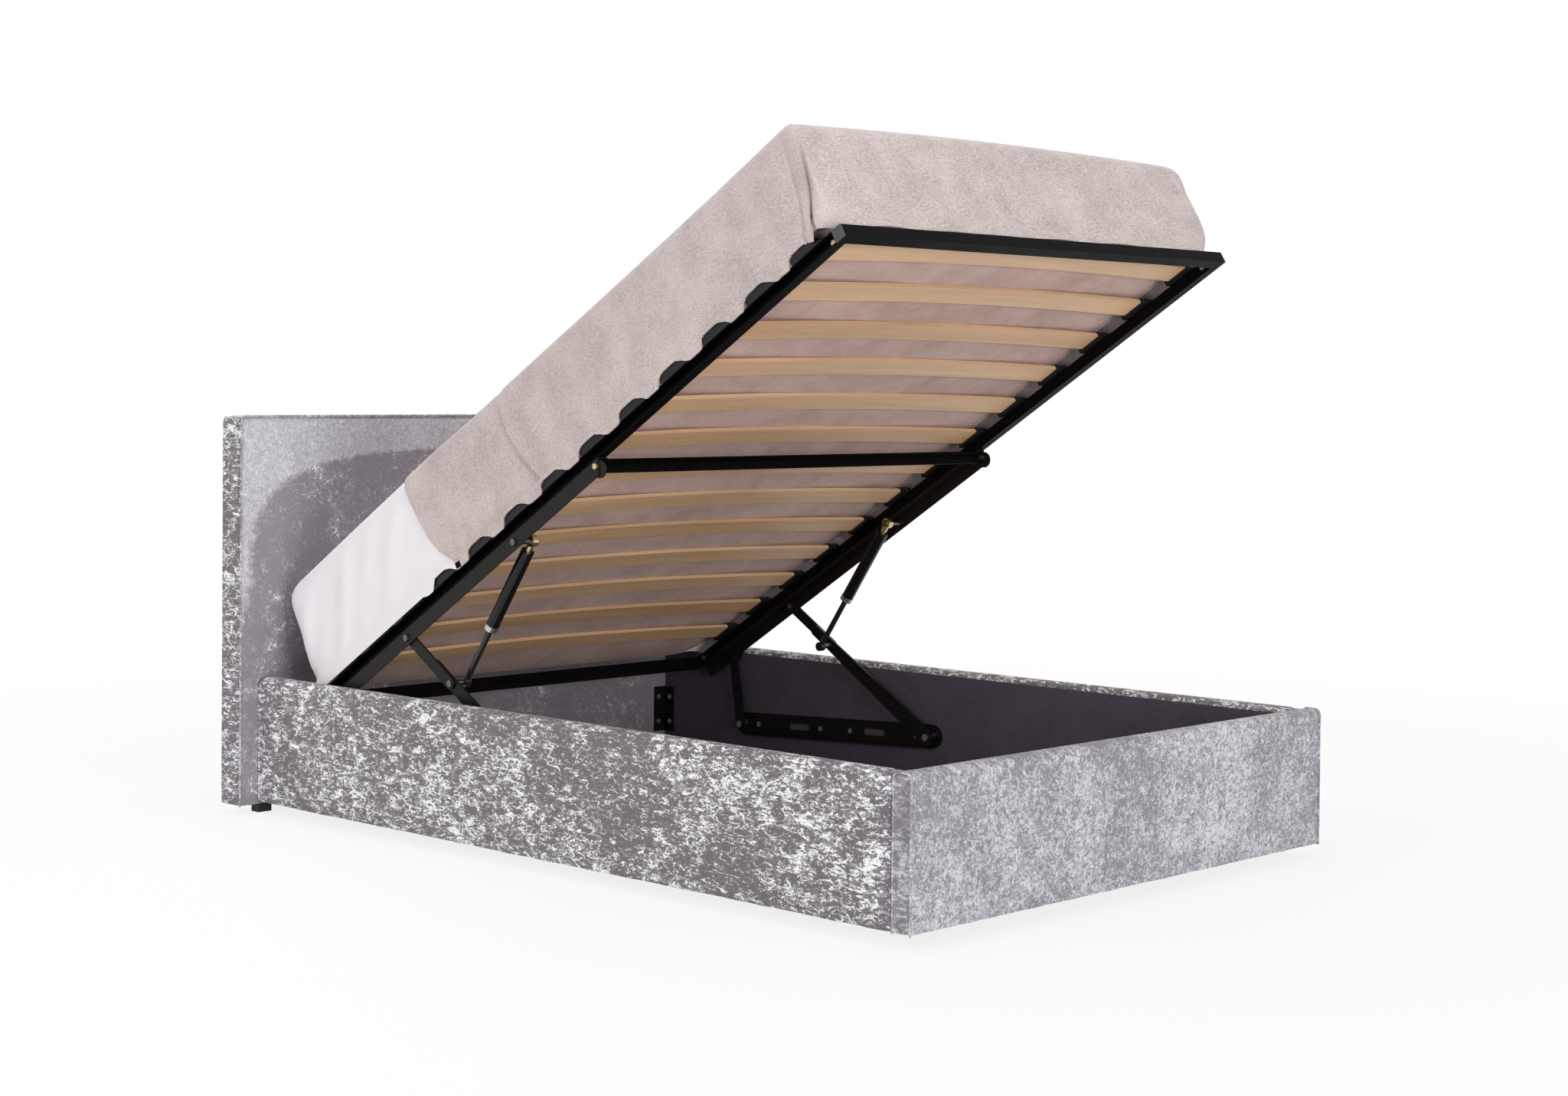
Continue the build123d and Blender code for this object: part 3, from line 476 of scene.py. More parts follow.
def makeCloth(name, look):
    dims = clothDims
    material, tree, shader, place = newMaterial(name, {"Sheen Weight": dims["sheen"]})
    turned = mappedVector(tree, place, (math.radians(look.get("turn", 0.0)), 0, 0))
    weave = useGroup(tree, weaveGroup, turned, Threads=look["threads"])
    colour = twoTone(tree, weave.outputs["Tone"], dims["ends"], look)
    roughness = greyRamp(tree, weave.outputs["Tone"], *dims["gloss"])
    dress(tree, shader, colour, roughness, weave.outputs["Height"], look["bump"], dims["bumpDepth"])
    return material


tickingLook = {
    "low": (0.39, 0.268, 0.234), "high": (0.53, 0.378, 0.336), "ends": (0.3, 0.7), "gloss": (1.0, 0.86),
    "blotch": {"scale": 9.0, "detail": 5, "distortion": 0.4}, "felt": {"scale": 260.0, "detail": 2},
    "bump": 0.4, "bumpDepth": 0.001,
    "speck": (0.17, 0.12, 0.11), "specks": 42.0, "speckCore": 0.10, "speckEdge": 0.16, "speckShare": 0.35,
}


def makeTicking():
    # felt pad under the mattress: mottled pinkish beige with dark specks
    look = tickingLook
    material, tree, shader, place = newMaterial("mattressTicking", {})
    blotch = noiseNode(tree, place, **look["blotch"])
    felt = noiseNode(tree, place, **look["felt"])
    ground = twoTone(tree, blotch, look["ends"], look)
    speck = addNode(tree, "ShaderNodeTexVoronoi")
    speck.inputs["Scale"].default_value = look["specks"]
    tree.links.new(place, speck.inputs["Vector"])
    dots = colourRamp(tree, speck.outputs["Distance"],
                      [(look["speckCore"], (1, 1, 1)), (look["speckEdge"], (0, 0, 0))])
    faint = mathNode(tree, "MULTIPLY", dots, look["speckShare"])
    colour = mixColour(tree, faint, ground, look["speck"])
    dress(tree, shader, colour, greyRamp(tree, felt, *look["gloss"]), felt, look["bump"], look["bumpDepth"])
    return material


woodLooks = {
    "birchPale": {
        "low": (0.48, 0.3, 0.165), "high": (0.65, 0.42, 0.245), "scale": 1.0, "gloss": (0.36, 0.5),
    },
    "birchWarm": {
        "low": (0.44, 0.26, 0.135), "high": (0.6, 0.375, 0.21), "scale": 1.15, "gloss": (0.38, 0.52),
    },
    "pineRough": {"low": (0.42, 0.28, 0.14), "high": (0.6, 0.44, 0.26), "scale": 0.8, "gloss": (0.62, 0.8)},
}
woodDims = {"ends": (0.32, 0.68), "bump": 0.2, "bumpDepth": 0.0004}


def makeWood(name, look):
    dims = woodDims
    material, tree, shader, place = newMaterial(name, {})
    grain = useGroup(tree, grainGroup, place, Scale=look["scale"])
    colour = twoTone(tree, grain.outputs["Tone"], dims["ends"], look)
    roughness = greyRamp(tree, grain.outputs["Tone"], *look["gloss"])
    dress(tree, shader, colour, roughness, grain.outputs["Pores"], dims["bump"], dims["bumpDepth"])
    return material


coatLooks = {
    "frameBlack": {"colour": (0.004, 0.0035, 0.0035), "roughness": 0.42, "specular": 0.03, "bump": 0.2},
    "armBlack": {"colour": (0.011, 0.0095, 0.0085), "roughness": 0.38, "specular": 0.14, "bump": 0.2},
    "linkBlack": {"colour": (0.007, 0.0065, 0.006), "roughness": 0.36, "specular": 0.16, "bump": 0.2},
    "holderBlack": {
        "colour": (0.008, 0.008, 0.009), "roughness": 0.5, "specular": 0.25, "bump": 0.3, "grain": 600.0,
    },
    "plugGrey": {"colour": (0.05, 0.05, 0.053), "roughness": 0.5, "bump": 0.3, "grain": 600.0},
    "legBlack": {"colour": (0.01, 0.01, 0.01), "roughness": 0.55, "specular": 0.3, "bump": 0.2},
    "zincBright": {"colour": (0.62, 0.61, 0.60), "roughness": 0.3, "metallic": 1.0, "bump": 0.1},
    "zincYellow": {"colour": (0.72, 0.58, 0.32), "roughness": 0.32, "metallic": 1.0, "bump": 0.1},
    "strutBlack": {"colour": (0.005, 0.005, 0.0055), "roughness": 0.2, "specular": 0.3, "bump": 0.05},
    "pinDark": {"colour": (0.16, 0.15, 0.135), "roughness": 0.3, "metallic": 1.0, "bump": 0.1},
    "rodDark": {"colour": (0.014, 0.013, 0.013), "roughness": 0.16, "specular": 0.5, "bump": 0.02},
    "boardBrown": {"colour": (0.36, 0.26, 0.16), "roughness": 0.8, "bump": 0.5, "grain": 300.0},
}
coatDims = {
    "skin": {"detail": 2, "roughness": 0.5}, "skinScale": 900.0, "smear": {"scale": 22.0}, "wornShare": 0.8,
    "ends": (0.3, 0.7), "glossLow": 0.7, "glossHigh": 1.3, "bumpDepth": 0.0003,
}


def makeCoat(name, look):
    # powder coat, paint or plated metal with a fine skin and a little wear in the gloss
    dims = coatDims
    material, tree, shader, place = newMaterial(
        name, {"Metallic": look.get("metallic", 0.0), "Specular IOR Level": look.get("specular", 0.5)})
    skin = noiseNode(tree, place, look.get("grain", dims["skinScale"]), **dims["skin"])
    smear = noiseNode(tree, place, **dims["smear"])
    worn = tuple(value * dims["wornShare"] for value in look["colour"])
    colour = twoTone(tree, smear, dims["ends"], {"low": worn, "high": look["colour"]})
    dull = look["roughness"]
    roughness = greyRamp(tree, smear, dull * dims["glossLow"], dull * dims["glossHigh"])
    dress(tree, shader, colour, roughness, skin, look["bump"], dims["bumpDepth"])
    return material


velvets = {name: makeVelvet(name, look, arcShadowLook if name == "velvetHead" else None)
           for name, look in velvetLooks.items()}
cloths = {name: makeCloth(name, look) for name, look in clothLooks.items()}
ticking = makeTicking()
woods = {name: makeWood(name, look) for name, look in woodLooks.items()}
coats = {name: makeCoat(name, look) for name, look in coatLooks.items()}
print("stage: materials made")

# finishes of the rigid pieces that come from the frame, and of those that come in a left and a right one
finishes = {**velvets, **cloths, **woods, **coats}
singles = {
    "boardBrown": ("headboard_board", "foot_panel_board"), "legBlack": ("headboard_legs", "floor_feet"),
    # the piping takes the velvet copy with painted light
    "velvetFoot": ("headboard_piping", "foot_panel_piping"), "floorCloth": ("floor_boards",),
    "pineRough": ("floor_timbers",), "linkBlack": ("corner_angles",), "plugGrey": ("tube_plugs",),
    "frameBlack": ("foot_tube", "head_tube", "cross_bar"), "zincBright": ("box_bolts", "pivot_studs"),
    "zincYellow": ("frame_bolts",), "pinDark": ("lift_arm_pins",), "holderBlack": ("slat_holders",),
}
pairs = {
    "boardBrown": ("side_rail_board",), "linkBlack": ("hinge_plate", "front_link", "rear_link"),
    "pinDark": ("front_link_stud",), "frameBlack": ("side_channel",), "armBlack": ("lift_arm",),
    "strutBlack": ("strut_cylinder",), "zincBright": ("strut_collar",), "zincYellow": ("strut_top_fitting",),
    "rodDark": ("strut_rod",),
}
slatCount = 13


def finishNodes(names, finish):
    for name in names:
        setMaterials(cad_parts[name], finishes[finish])


for finish, names in singles.items():
    finishNodes(names, finish)
for finish, names in pairs.items():
    finishNodes([name + side for name in names for side in ("_left", "_right")], finish)
for number in range(1, slatCount + 1):  # every third slat is a little warmer
    finishNodes(["slat_%02d" % number], "birchPale" if number % 3 else "birchWarm")
print("stage: frame pieces finished")

boxDims = {
    "inset": 0.0002, "step": 0.013, "lowRadius": 0.006, "endRadius": 0.005, "foamEdge": 0.05,
    "broadFrom": 0.6, "puff": 0.0012, "crumple": 0.0012, "waveSize": 0.11, "waveShare": 0.6,
    "dentSize": 0.035, "dentShare": 0.4, "hemWave": 0.0012, "hemReach": 0.03, "hemSize": 0.045,
    "shadeAngle": 70, "facing": 0.7, "innerFacing": 0.8,
}


def upholsteredBlock(name, node, axis, radius, seed):
    # velvet over thin foam: the broad faces swell a little and the cloth lies unevenly
    dims = boxDims
    low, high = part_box(node)
    low = Vector([value + dims["inset"] for value in low])
    high = Vector([value - dims["inset"] for value in high])
    step = [dims["step"]] * 3
    step[axis] = (high[axis] - low[axis]) / 3
    piece = gridBlock(name, low, high, step)
    roundBlock(piece, low, high, radius, dims["lowRadius"], dims["endRadius"])
    middle, half = (low + high) / 2, (high - low) / 2
    for vert in piece.data.vertices:
        p = vert.co
        away = (p[axis] - middle[axis]) / half[axis]
        edge = min(half[i] - abs(p[i] - middle[i]) for i in range(3) if i != axis)
        room = max(0.0, min(1.0, edge / dims["foamEdge"]))
        wave = (ripple(*p, dims["waveSize"], seed) * dims["waveShare"]
                + ripple(*p, dims["dentSize"], seed + 3) * dims["dentShare"])
        if abs(away) > dims["broadFrom"]:
            swell = dims["puff"] * smoothStep(0, 1, room) + dims["crumple"] * wave * room
            p[axis] += math.copysign(1, away) * swell
        bottom = smoothStep(low.z + dims["hemReach"], low.z, p.z)
        p.z += dims["hemWave"] * bottom * ripple(p.x, p.y, 0, dims["hemSize"], seed + 7)
    return piece


def padFinish(piece, node):
    shadeSoft(piece, boxDims["shadeAngle"])
    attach(piece, "base")
    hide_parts(node)


railDims = {
    "radius": 0.012, "droop": 0.026, "droopDepth": 0.03, "lip": 0.012, "seeds": {"left": 2.0, "right": 5.0},
}


def makeRail(side):
    dims = railDims
    node = "side_rail_cover_" + side
    piece = upholsteredBlock("railVelvet_" + side, node, 0, dims["radius"], dims["seeds"][side])
    low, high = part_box(node)
    for vert in piece.data.vertices:  # the top edge falls away against the headboard
        near = max(0.0, vert.co.y - (high.y - dims["droop"])) / dims["droop"]
        top = max(0.0, vert.co.z - (high.z - dims["droopDepth"])) / dims["droopDepth"]
        vert.co.z -= dims["droop"] * (1 - math.sqrt(max(0.0, 1 - near * near))) * top
    # the outer faces take the velvet copy with painted shade and painted sheen
    setMaterials(piece, velvets["velvetRail"], cloths["liningCloth"])
    inward = 1 if side == "left" else -1
    for face in piece.data.polygons:
        # faces turned inward below the lip take the very dark cloth
        if face.normal.x * inward > boxDims["innerFacing"] and face.center.z < high.z - dims["lip"]:
            face.material_index = 1
    padFinish(piece, node)


footDims = {"radius": 0.0125, "lip": 0.012, "seed": 9.0}


def makeFootPanel():
    dims = footDims
    node = "foot_panel_cover"
    piece = upholsteredBlock("footPanelVelvet", node, 1, dims["radius"], dims["seed"])
    low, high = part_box(node)
    # the front takes the velvet copy with painted light, the ends the copy with painted shade
    setMaterials(piece, velvets["velvetFoot"], cloths["liningCloth"], velvets["velvetEdge"])
    for face in piece.data.polygons:
        # faces turned inward below the lip take the very dark cloth
        if face.normal.y > boxDims["innerFacing"] and face.center.z < high.z - dims["lip"]:
            face.material_index = 1
        # the ends take the velvet copy with painted shade
        elif abs(face.normal.x) > boxDims["facing"]:
            face.material_index = 2
    padFinish(piece, node)


headDims = {
    "radius": 0.011, "seam": 0.311, "seamDepth": 0.004, "seamWidth": 0.006, "backEdge": 0.045, "seed": 13.0,
}


def makeHeadboard():
    dims = headDims
    node = "headboard_cover"
    piece = upholsteredBlock("headboardVelvet", node, 1, dims["radius"], dims["seed"])
    low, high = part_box(node)
    for vert in piece.data.vertices:  # sewn seam across the front
        if vert.co.y < (low.y + high.y) / 2:
            vert.co.y += dims["seamDepth"] * bell(vert.co.z - dims["seam"], dims["seamWidth"])
    setMaterials(piece, velvets["velvetHead"], velvets["velvetRail"], cloths["liningCloth"])
    edge = dims["backEdge"]
    for face in piece.data.polygons:
        place = face.center
        # faces turned to the sides take the velvet copy with painted shade and painted sheen
        if abs(face.normal.x) > boxDims["facing"]:
            face.material_index = 1
        elif face.normal.y > boxDims["facing"]:  # the back: dark inner cloth inside a turned edge of velvet
            inner = abs(place.x) < high.x - edge and low.z + edge < place.z < high.z - edge
            face.material_index = 2 if inner else 1
    padFinish(piece, node)


makeRail("left")
makeRail("right")
makeFootPanel()
makeHeadboard()
print("stage: upholstery made")

# the bedding is modelled flat, with y along the platform from its foot and z up from the frame, then tilted
platformDims = {"angle": 32.0, "footY": -0.79955, "footZ": 1.2722}
tilt = Matrix.Translation((0, platformDims["footY"], platformDims["footZ"])) @ Matrix.Rotation(
    math.radians(-platformDims["angle"]), 4, "X")

mattressDims = {
    "halfWidth": 0.594, "foot": 0.010, "head": 1.910, "bottom": 0.0263, "top": 0.2483, "grow": -0.0005,
    "topRadius": 0.040, "lowRadius": 0.008, "planRadius": 0.080, "step": 0.022, "upShare": 0.9,
    "crown": 0.012, "waist": 0.004, "sole": 0.02, "footDip": 0.008, "headLift": 0.026, "liftRun": 1.6,
    "headBulge": 0.011, "bulgeRun": 0.16, "bulgeHeight": 0.14, "bulgeHalf": 0.13,
    "soleWave": 0.0008, "soleWaveSize": 0.06, "soleTop": 0.04, "soleSeed": 1.0, "shadeAngle": 60,
}


def beddingBlock(name, own, bottom, lowRadius):
    dims, grow, step = mattressDims, own["grow"], own["step"]
    low = (-dims["halfWidth"] - grow, dims["foot"] - grow, bottom)
    high = (dims["halfWidth"] + grow, dims["head"] + grow, dims["top"] + grow)
    piece = gridBlock(name, low, high, (step, step, step * dims["upShare"]))
    roundBlock(piece, low, high, dims["topRadius"] + grow, lowRadius, own["planRadius"])
    return piece


def plumpUp(piece, grow, bottom):
    # filling of the mattress: crowned top, drawn-in sides, fuller toward the head end
    dims = mattressDims
    middle = (dims["foot"] + dims["head"]) / 2
    half = (dims["head"] - dims["foot"]) / 2
    for vert in piece.data.vertices:
        p = vert.co
        across = p.x / (dims["halfWidth"] + grow)
        along = (p.y - middle) / (half + grow)
        height = max(0.0, min(1.0, (p.z - bottom - dims["sole"]) / (dims["top"] - bottom - dims["sole"])))
        lift = dims["headLift"] * smoothStep(0, dims["liftRun"], p.y) - dims["footDip"]
        p.z += (dims["crown"] * max(0.0, 1 - across ** 2) + lift) * height
        p.x -= dims["waist"] * across * (1 - along ** 2)
        end = smoothStep(dims["head"] - dims["bulgeRun"], dims["head"], p.y)
        belly = max(0.0, 1 - ((p.z - dims["bulgeHeight"]) / dims["bulgeHalf"]) ** 2)
        belly *= max(0.0, 1 - across ** 6)
        p.y += dims["headBulge"] * end * belly


# each pair below and in the next dictionaries is where an effect begins and where it is full
hiddenDims = {
    "deeper": 0.0105, "along": (1.27, 1.12), "side": (0.5, 0.58), "upper": (0.19, 0.24),
    "cornerIn": 0.012, "cornerSide": (0.49, 0.594), "cornerFoot": (0.11, 0.01),
}


def drawIn(piece):
    # what lies under the bedspread sits a little deeper, most of all at the foot corners
    dims = hiddenDims
    for vert in piece.data.vertices:
        p = vert.co
        side = math.copysign(1, p.x) * smoothStep(*dims["side"], abs(p.x))
        corner = smoothStep(*dims["cornerSide"], abs(p.x)) * smoothStep(*dims["cornerFoot"], p.y)
        hidden = dims["deeper"] * smoothStep(*dims["along"], p.y)
        p.x -= side * (hidden + dims["cornerIn"] * corner)
        p.y += dims["cornerIn"] * corner
        p.z -= hidden * smoothStep(*dims["upper"], p.z)


def settle(piece, node, material, angle):
    setMaterials(piece, material)
    shadeSoft(piece, angle)
    piece.data.transform(tilt)
    piece.data.update()
    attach(piece, "platform")
    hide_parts(node)


def thickenCloth(piece, thickness):
    modifier = piece.modifiers.new("cloth", "SOLIDIFY")
    modifier.thickness = thickness
    modifier.offset = -1
    takeOnly(piece)
    bpy.ops.object.modifier_apply(modifier=modifier.name)


def makeMattress():
    dims = mattressDims
    piece = beddingBlock("mattressPad", dims, dims["bottom"], dims["lowRadius"])
    plumpUp(piece, dims["grow"], dims["bottom"])
    drawIn(piece)
    for vert in piece.data.vertices:
        wave = ripple(*vert.co, dims["soleWaveSize"], dims["soleSeed"])
        vert.co.z += dims["soleWave"] * wave * (vert.co.z < dims["soleTop"])
    settle(piece, "mattress", ticking, dims["shadeAngle"])


hemDims = {
    "low": -0.0040, "side": 0.0180, "footFace": 0.0035, "firstHolder": 0.098, "holderPitch": 0.13733,
    "profile": ((0.048, -0.0040), (0.042, 0.0130), (0.030, 0.0175), (-0.014, 0.0175), (-0.040, 0.0030),
                (-0.046, -0.0040)),
    "radius": 0.001, "under": 0.001, "down": -0.7, "reach": 0.055, "tucked": 0.030,
    "covered": (1.40, 1.42), "over": 0.002, "clear": 0.5994, "clearHeight": (0.036, 0.022),
    "clearBeside": 0.5, "clearPast": 0.1,
}


def hemHeight(u):
    # the hem lies on the slat holders and dips between them; toward the head it hangs over them
    dims = hemDims
    pitch = dims["holderPitch"]
    phase = (u - dims["firstHolder"] + pitch / 2) % pitch - pitch / 2
    height = lineAt(dims["profile"], phase)
    return height + (dims["over"] - height) * smoothStep(*dims["covered"], u)


def lowerHem(p, target):
    # moves the lowest part of a hanging cloth to its hem line
    p.z += (target - hemDims["low"]) * smoothStep(hemDims["reach"], hemDims["low"], p.z)


def clothBlock(name, own):
    # a cloth over the mattress has no underside
    piece = beddingBlock(name, own, hemDims["low"], hemDims["radius"])
    limit, down = hemDims["low"] + hemDims["under"], hemDims["down"]
    selectParts(piece, "FACE", lambda face: face.normal.z < down and face.calc_center_median().z < limit)
    bpy.ops.mesh.delete(type="FACE")
    bpy.ops.object.mode_set(mode="OBJECT")
    return piece


def clearFrame(piece):
    # the cloth that hangs below the frame's top stays outside it
    dims = hemDims
    for vert in piece.data.vertices:
        p = vert.co
        if p.z < dims["clearHeight"][0] and abs(p.x) > dims["clearBeside"] and p.y > dims["clearPast"]:
            missing = max(abs(p.x), dims["clear"]) - abs(p.x)
            p.x = math.copysign(abs(p.x) + missing * smoothStep(*dims["clearHeight"], p.z), p.x)


sheetDims = {
    "grow": 0.0014, "thickness": 0.0010, "planRadius": 0.082, "step": 0.016, "shadeAngle": 60,
    "shown": (1.22, 1.25), "headHem": (1.9, 1.87),
    "cornerLift": 0.055, "cornerSide": (0.5, 0.56), "cornerFoot": (0.11, 0.07), "cornerHeight": (0.09, 0.0),
    "wrinkle": 0.0100, "hollow": 0.0006, "slant": (1.5, 1.1, 0.35), "slantSize": 0.075, "slantSeed": 4.0,
    "fineFan": 0.5, "fineSize": 0.03, "fineSeed": 9.0, "fineShare": 0.4,
    "foldSide": (0.554, 0.584), "foldHeight": (0.25, 0.17), "foldAlong": (1.27, 1.35),
}


def makeSheet():
    dims = sheetDims
    piece = clothBlock("fittedSheet", dims)
    along, up, fan = dims["slant"]
    for vert in piece.data.vertices:
        p = vert.co
        # tucked up under the bedspread and at the head, and hanging like the bedspread where it shows
        shown = smoothStep(*dims["shown"], p.y) * smoothStep(*dims["headHem"], p.y)
        lowerHem(p, hemDims["tucked"] + (hemHeight(p.y) - hemDims["tucked"]) * shown)
        # drawn up round the foot corners, under the bedspread
        corner = smoothStep(*dims["cornerSide"], abs(p.x)) * smoothStep(*dims["cornerFoot"], p.y)
        p.z += dims["cornerLift"] * corner * smoothStep(*dims["cornerHeight"], p.z)
        # slack folds running down and back from the top edge
        side = smoothStep(*dims["foldSide"], abs(p.x))
        folds = ripple(p.y * along + p.z * up, 0, p.z * fan, dims["slantSize"], dims["slantSeed"])
        fine = ripple(p.y + p.z, 0, p.z * dims["fineFan"], dims["fineSize"], dims["fineSeed"])
        folds += dims["fineShare"] * fine
        push = max(-dims["hollow"], dims["wrinkle"] * folds) * side * smoothStep(*dims["foldHeight"], p.z)
        p.x += math.copysign(push, p.x) * smoothStep(*dims["foldAlong"], p.y)
    plumpUp(piece, dims["grow"], hemDims["low"])
    clearFrame(piece)
    drawIn(piece)
    thickenCloth(piece, dims["thickness"])
    settle(piece, "fitted_sheet", cloths["sheetCotton"], dims["shadeAngle"])


spreadDims = {
    "grow": 0.0062, "thickness": 0.0034, "step": 0.0115, "planRadius": 0.075, "shadeAngle": 50,
    "edge": ((0.205, 1.36), (0.151, 1.353), (0.095, 1.342), (0.059, 1.326), (0.031, 1.307),
             (0.014, 1.288)),
    "crease": ((0.2475, 0.985), (0.175, 1.003), (0.135, 1.0), (0.096, 0.989), (0.058, 0.974),
               (0.02, 0.957)),
    "lineRun": 0.14, "creaseZone": 0.03, "creaseCuts": 3, "hemZone": 0.03, "hemCuts": 1,
    "creaseStep": 0.0036, "stepRun": (0.3, 0.1), "creaseDent": 0.0072, "creaseRun": 0.013,
    "sideInset": 0.05, "sideFull": 0.008, "lower": (0.23, 0.03), "cornerEnd": 0.11,
    "foldAlong": (0.11, 0.18), "fold": 0.0016, "foldFan": 0.22, "foldSize": 0.085, "foldSeed": 6.0,
    "foldTop": 0.3, "foldLow": 0.7, "fineShare": 0.5, "fineFan": 0.5, "fineSize": 0.03, "fineSeed": 8.0,
    "tuck": 0.0022, "tucksEach": 2, "tuckDrift": 0.4, "tuckDriftSize": 0.2, "tuckSeed": 3.0,
    "tuckHeight": (0.085, 0.02), "sideHem": (0.06, 0.1), "footFold": 0.008, "footSlant": (0.6, 0.4),
    "footSize": 0.1, "footSeed": 2.0, "footAlong": (0.05, 0.01), "footInset": (0.03, 0.12),
    "footHeight": (0.22, 0.06),
}
cornerDims = {
    "beside": 0.11, "ahead": 0.13, "below": 0.235, "flatTop": 0.8, "cuts": 3, "belt": (0.08, 0.12),
    "beltReach": 0.9, "heldFrom": 0.35, "heldFull": 0.75, "limit": 0.3,
    "squareTop": 14.0, "squareHeight": (0.0, 0.12),
    "pleat": ((0.207, 0.0), (0.139, 0.009), (0.103, 0.0157), (0.070, 0.0258), (0.014, 0.0445)),
    "pleatRun": 0.17, "pleatHeight": (0.232, 0.180), "farShare": 0.45, "pleatDepth": 0.0070,
    "pleatNear": (-0.12, -0.03), "gutter": 0.7, "gutterAt": 0.004, "gutterWidth": 0.004,
    "cornerLift": 0.030, "liftHeight": (0.10, 0.0), "liftNear": (-0.06, 0.0),
    "flapRise": 0.0036, "flapFlare": 0.8, "flareHeight": (0.06, 0.01), "flapWidth": 0.013,
    "flapGroove": 0.0050, "grooveAt": 0.022, "grooveWidth": 0.005,
}


def cornerRun(p, half, start, radius):
    # a point's run round a foot corner, from its middle toward the side, and its reach from the centre
    aside, ahead = abs(p.x) - (half - radius), start + radius - p.y
    quarter = math.pi / 4 * radius
    if aside > 0 and ahead > 0:
        return (math.atan2(aside, ahead) - math.pi / 4) * radius, math.hypot(aside, ahead)
    return (quarter - ahead, aside) if ahead <= 0 else (aside - quarter, ahead)


def cornerPlace(p, run, reach, half, start, radius):
    # the way back, from the run and reach to a place
    quarter = math.pi / 4 * radius
    side = math.copysign(1, p.x)
    if run > quarter:
        p.x, p.y = side * (half - radius + reach), start + radius + run - quarter
    elif run < -quarter:
        p.x, p.y = side * (half - radius + run + quarter), start + radius - reach
    else:
        turn = run / radius + math.pi / 4
        p.x, p.y = side * (half - radius + reach * math.sin(turn)), start + radius - reach * math.cos(turn)


def foldCorners(piece, half, start):
    # each foot corner is folded like an envelope: square at the top, a pleat running down onto the side
    dims = cornerDims
    radius = spreadDims["planRadius"]

    def atCorner(face):
        place = face.calc_center_median()
        beside, ahead = abs(place.x) > half - dims["beside"], place.y < dims["ahead"]
        return beside and ahead and place.z < dims["below"] and face.normal.z < dims["flatTop"]

    subdivideParts(piece, "FACE", atCorner, dims["cuts"])
    runs = [cornerRun(vert.co, half, start, radius) for vert in piece.data.vertices]
    beltLow, beltHigh = dims["belt"]
    first = min(abs(run) for vert, (run, reach) in zip(piece.data.vertices, runs)
                if beltLow < vert.co.z < beltHigh and reach > dims["beltReach"] * radius)
    for vert, (run, reach) in zip(piece.data.vertices, runs):
        p = vert.co
        held = smoothStep(dims["heldFrom"] * radius, dims["heldFull"] * radius, reach)
        if held == 0 or abs(run) > dims["limit"]:
            continue
        away = run - first
        run += lineAt(dims["pleat"], p.z) * held * smoothStep(dims["pleatRun"], 0.0, abs(away))
        turn = run / radius + math.pi / 4
        if 0 < turn < math.pi / 2:  # squarer toward the top
            power = 2 + dims["squareTop"] * smoothStep(*dims["squareHeight"], p.z)
            reach *= (math.sin(turn) ** power + math.cos(turn) ** power) ** (-1 / power)
        strength = smoothStep(*dims["pleatHeight"], p.z) * held * (1 if p.x < 0 else dims["farShare"])
        if away < -hair:
            near = smoothStep(*dims["pleatNear"], away)
            gutter = dims["gutter"] * bell(away + dims["gutterAt"], dims["gutterWidth"])
            reach -= dims["pleatDepth"] * strength * (near + gutter)
            lift = dims["cornerLift"] * near * smoothStep(*dims["liftHeight"], p.z)
            p.z += lift * smoothStep(*dims["liftNear"], away)
        else:
            flare = 1 + dims["flapFlare"] * smoothStep(*dims["flareHeight"], p.z)
            rise = dims["flapRise"] * flare * bell(away, dims["flapWidth"])
            groove = dims["flapGroove"] * bell(away - dims["grooveAt"], dims["grooveWidth"])
            reach += (rise - groove) * strength
        cornerPlace(p, run, reach, half, start, radius)


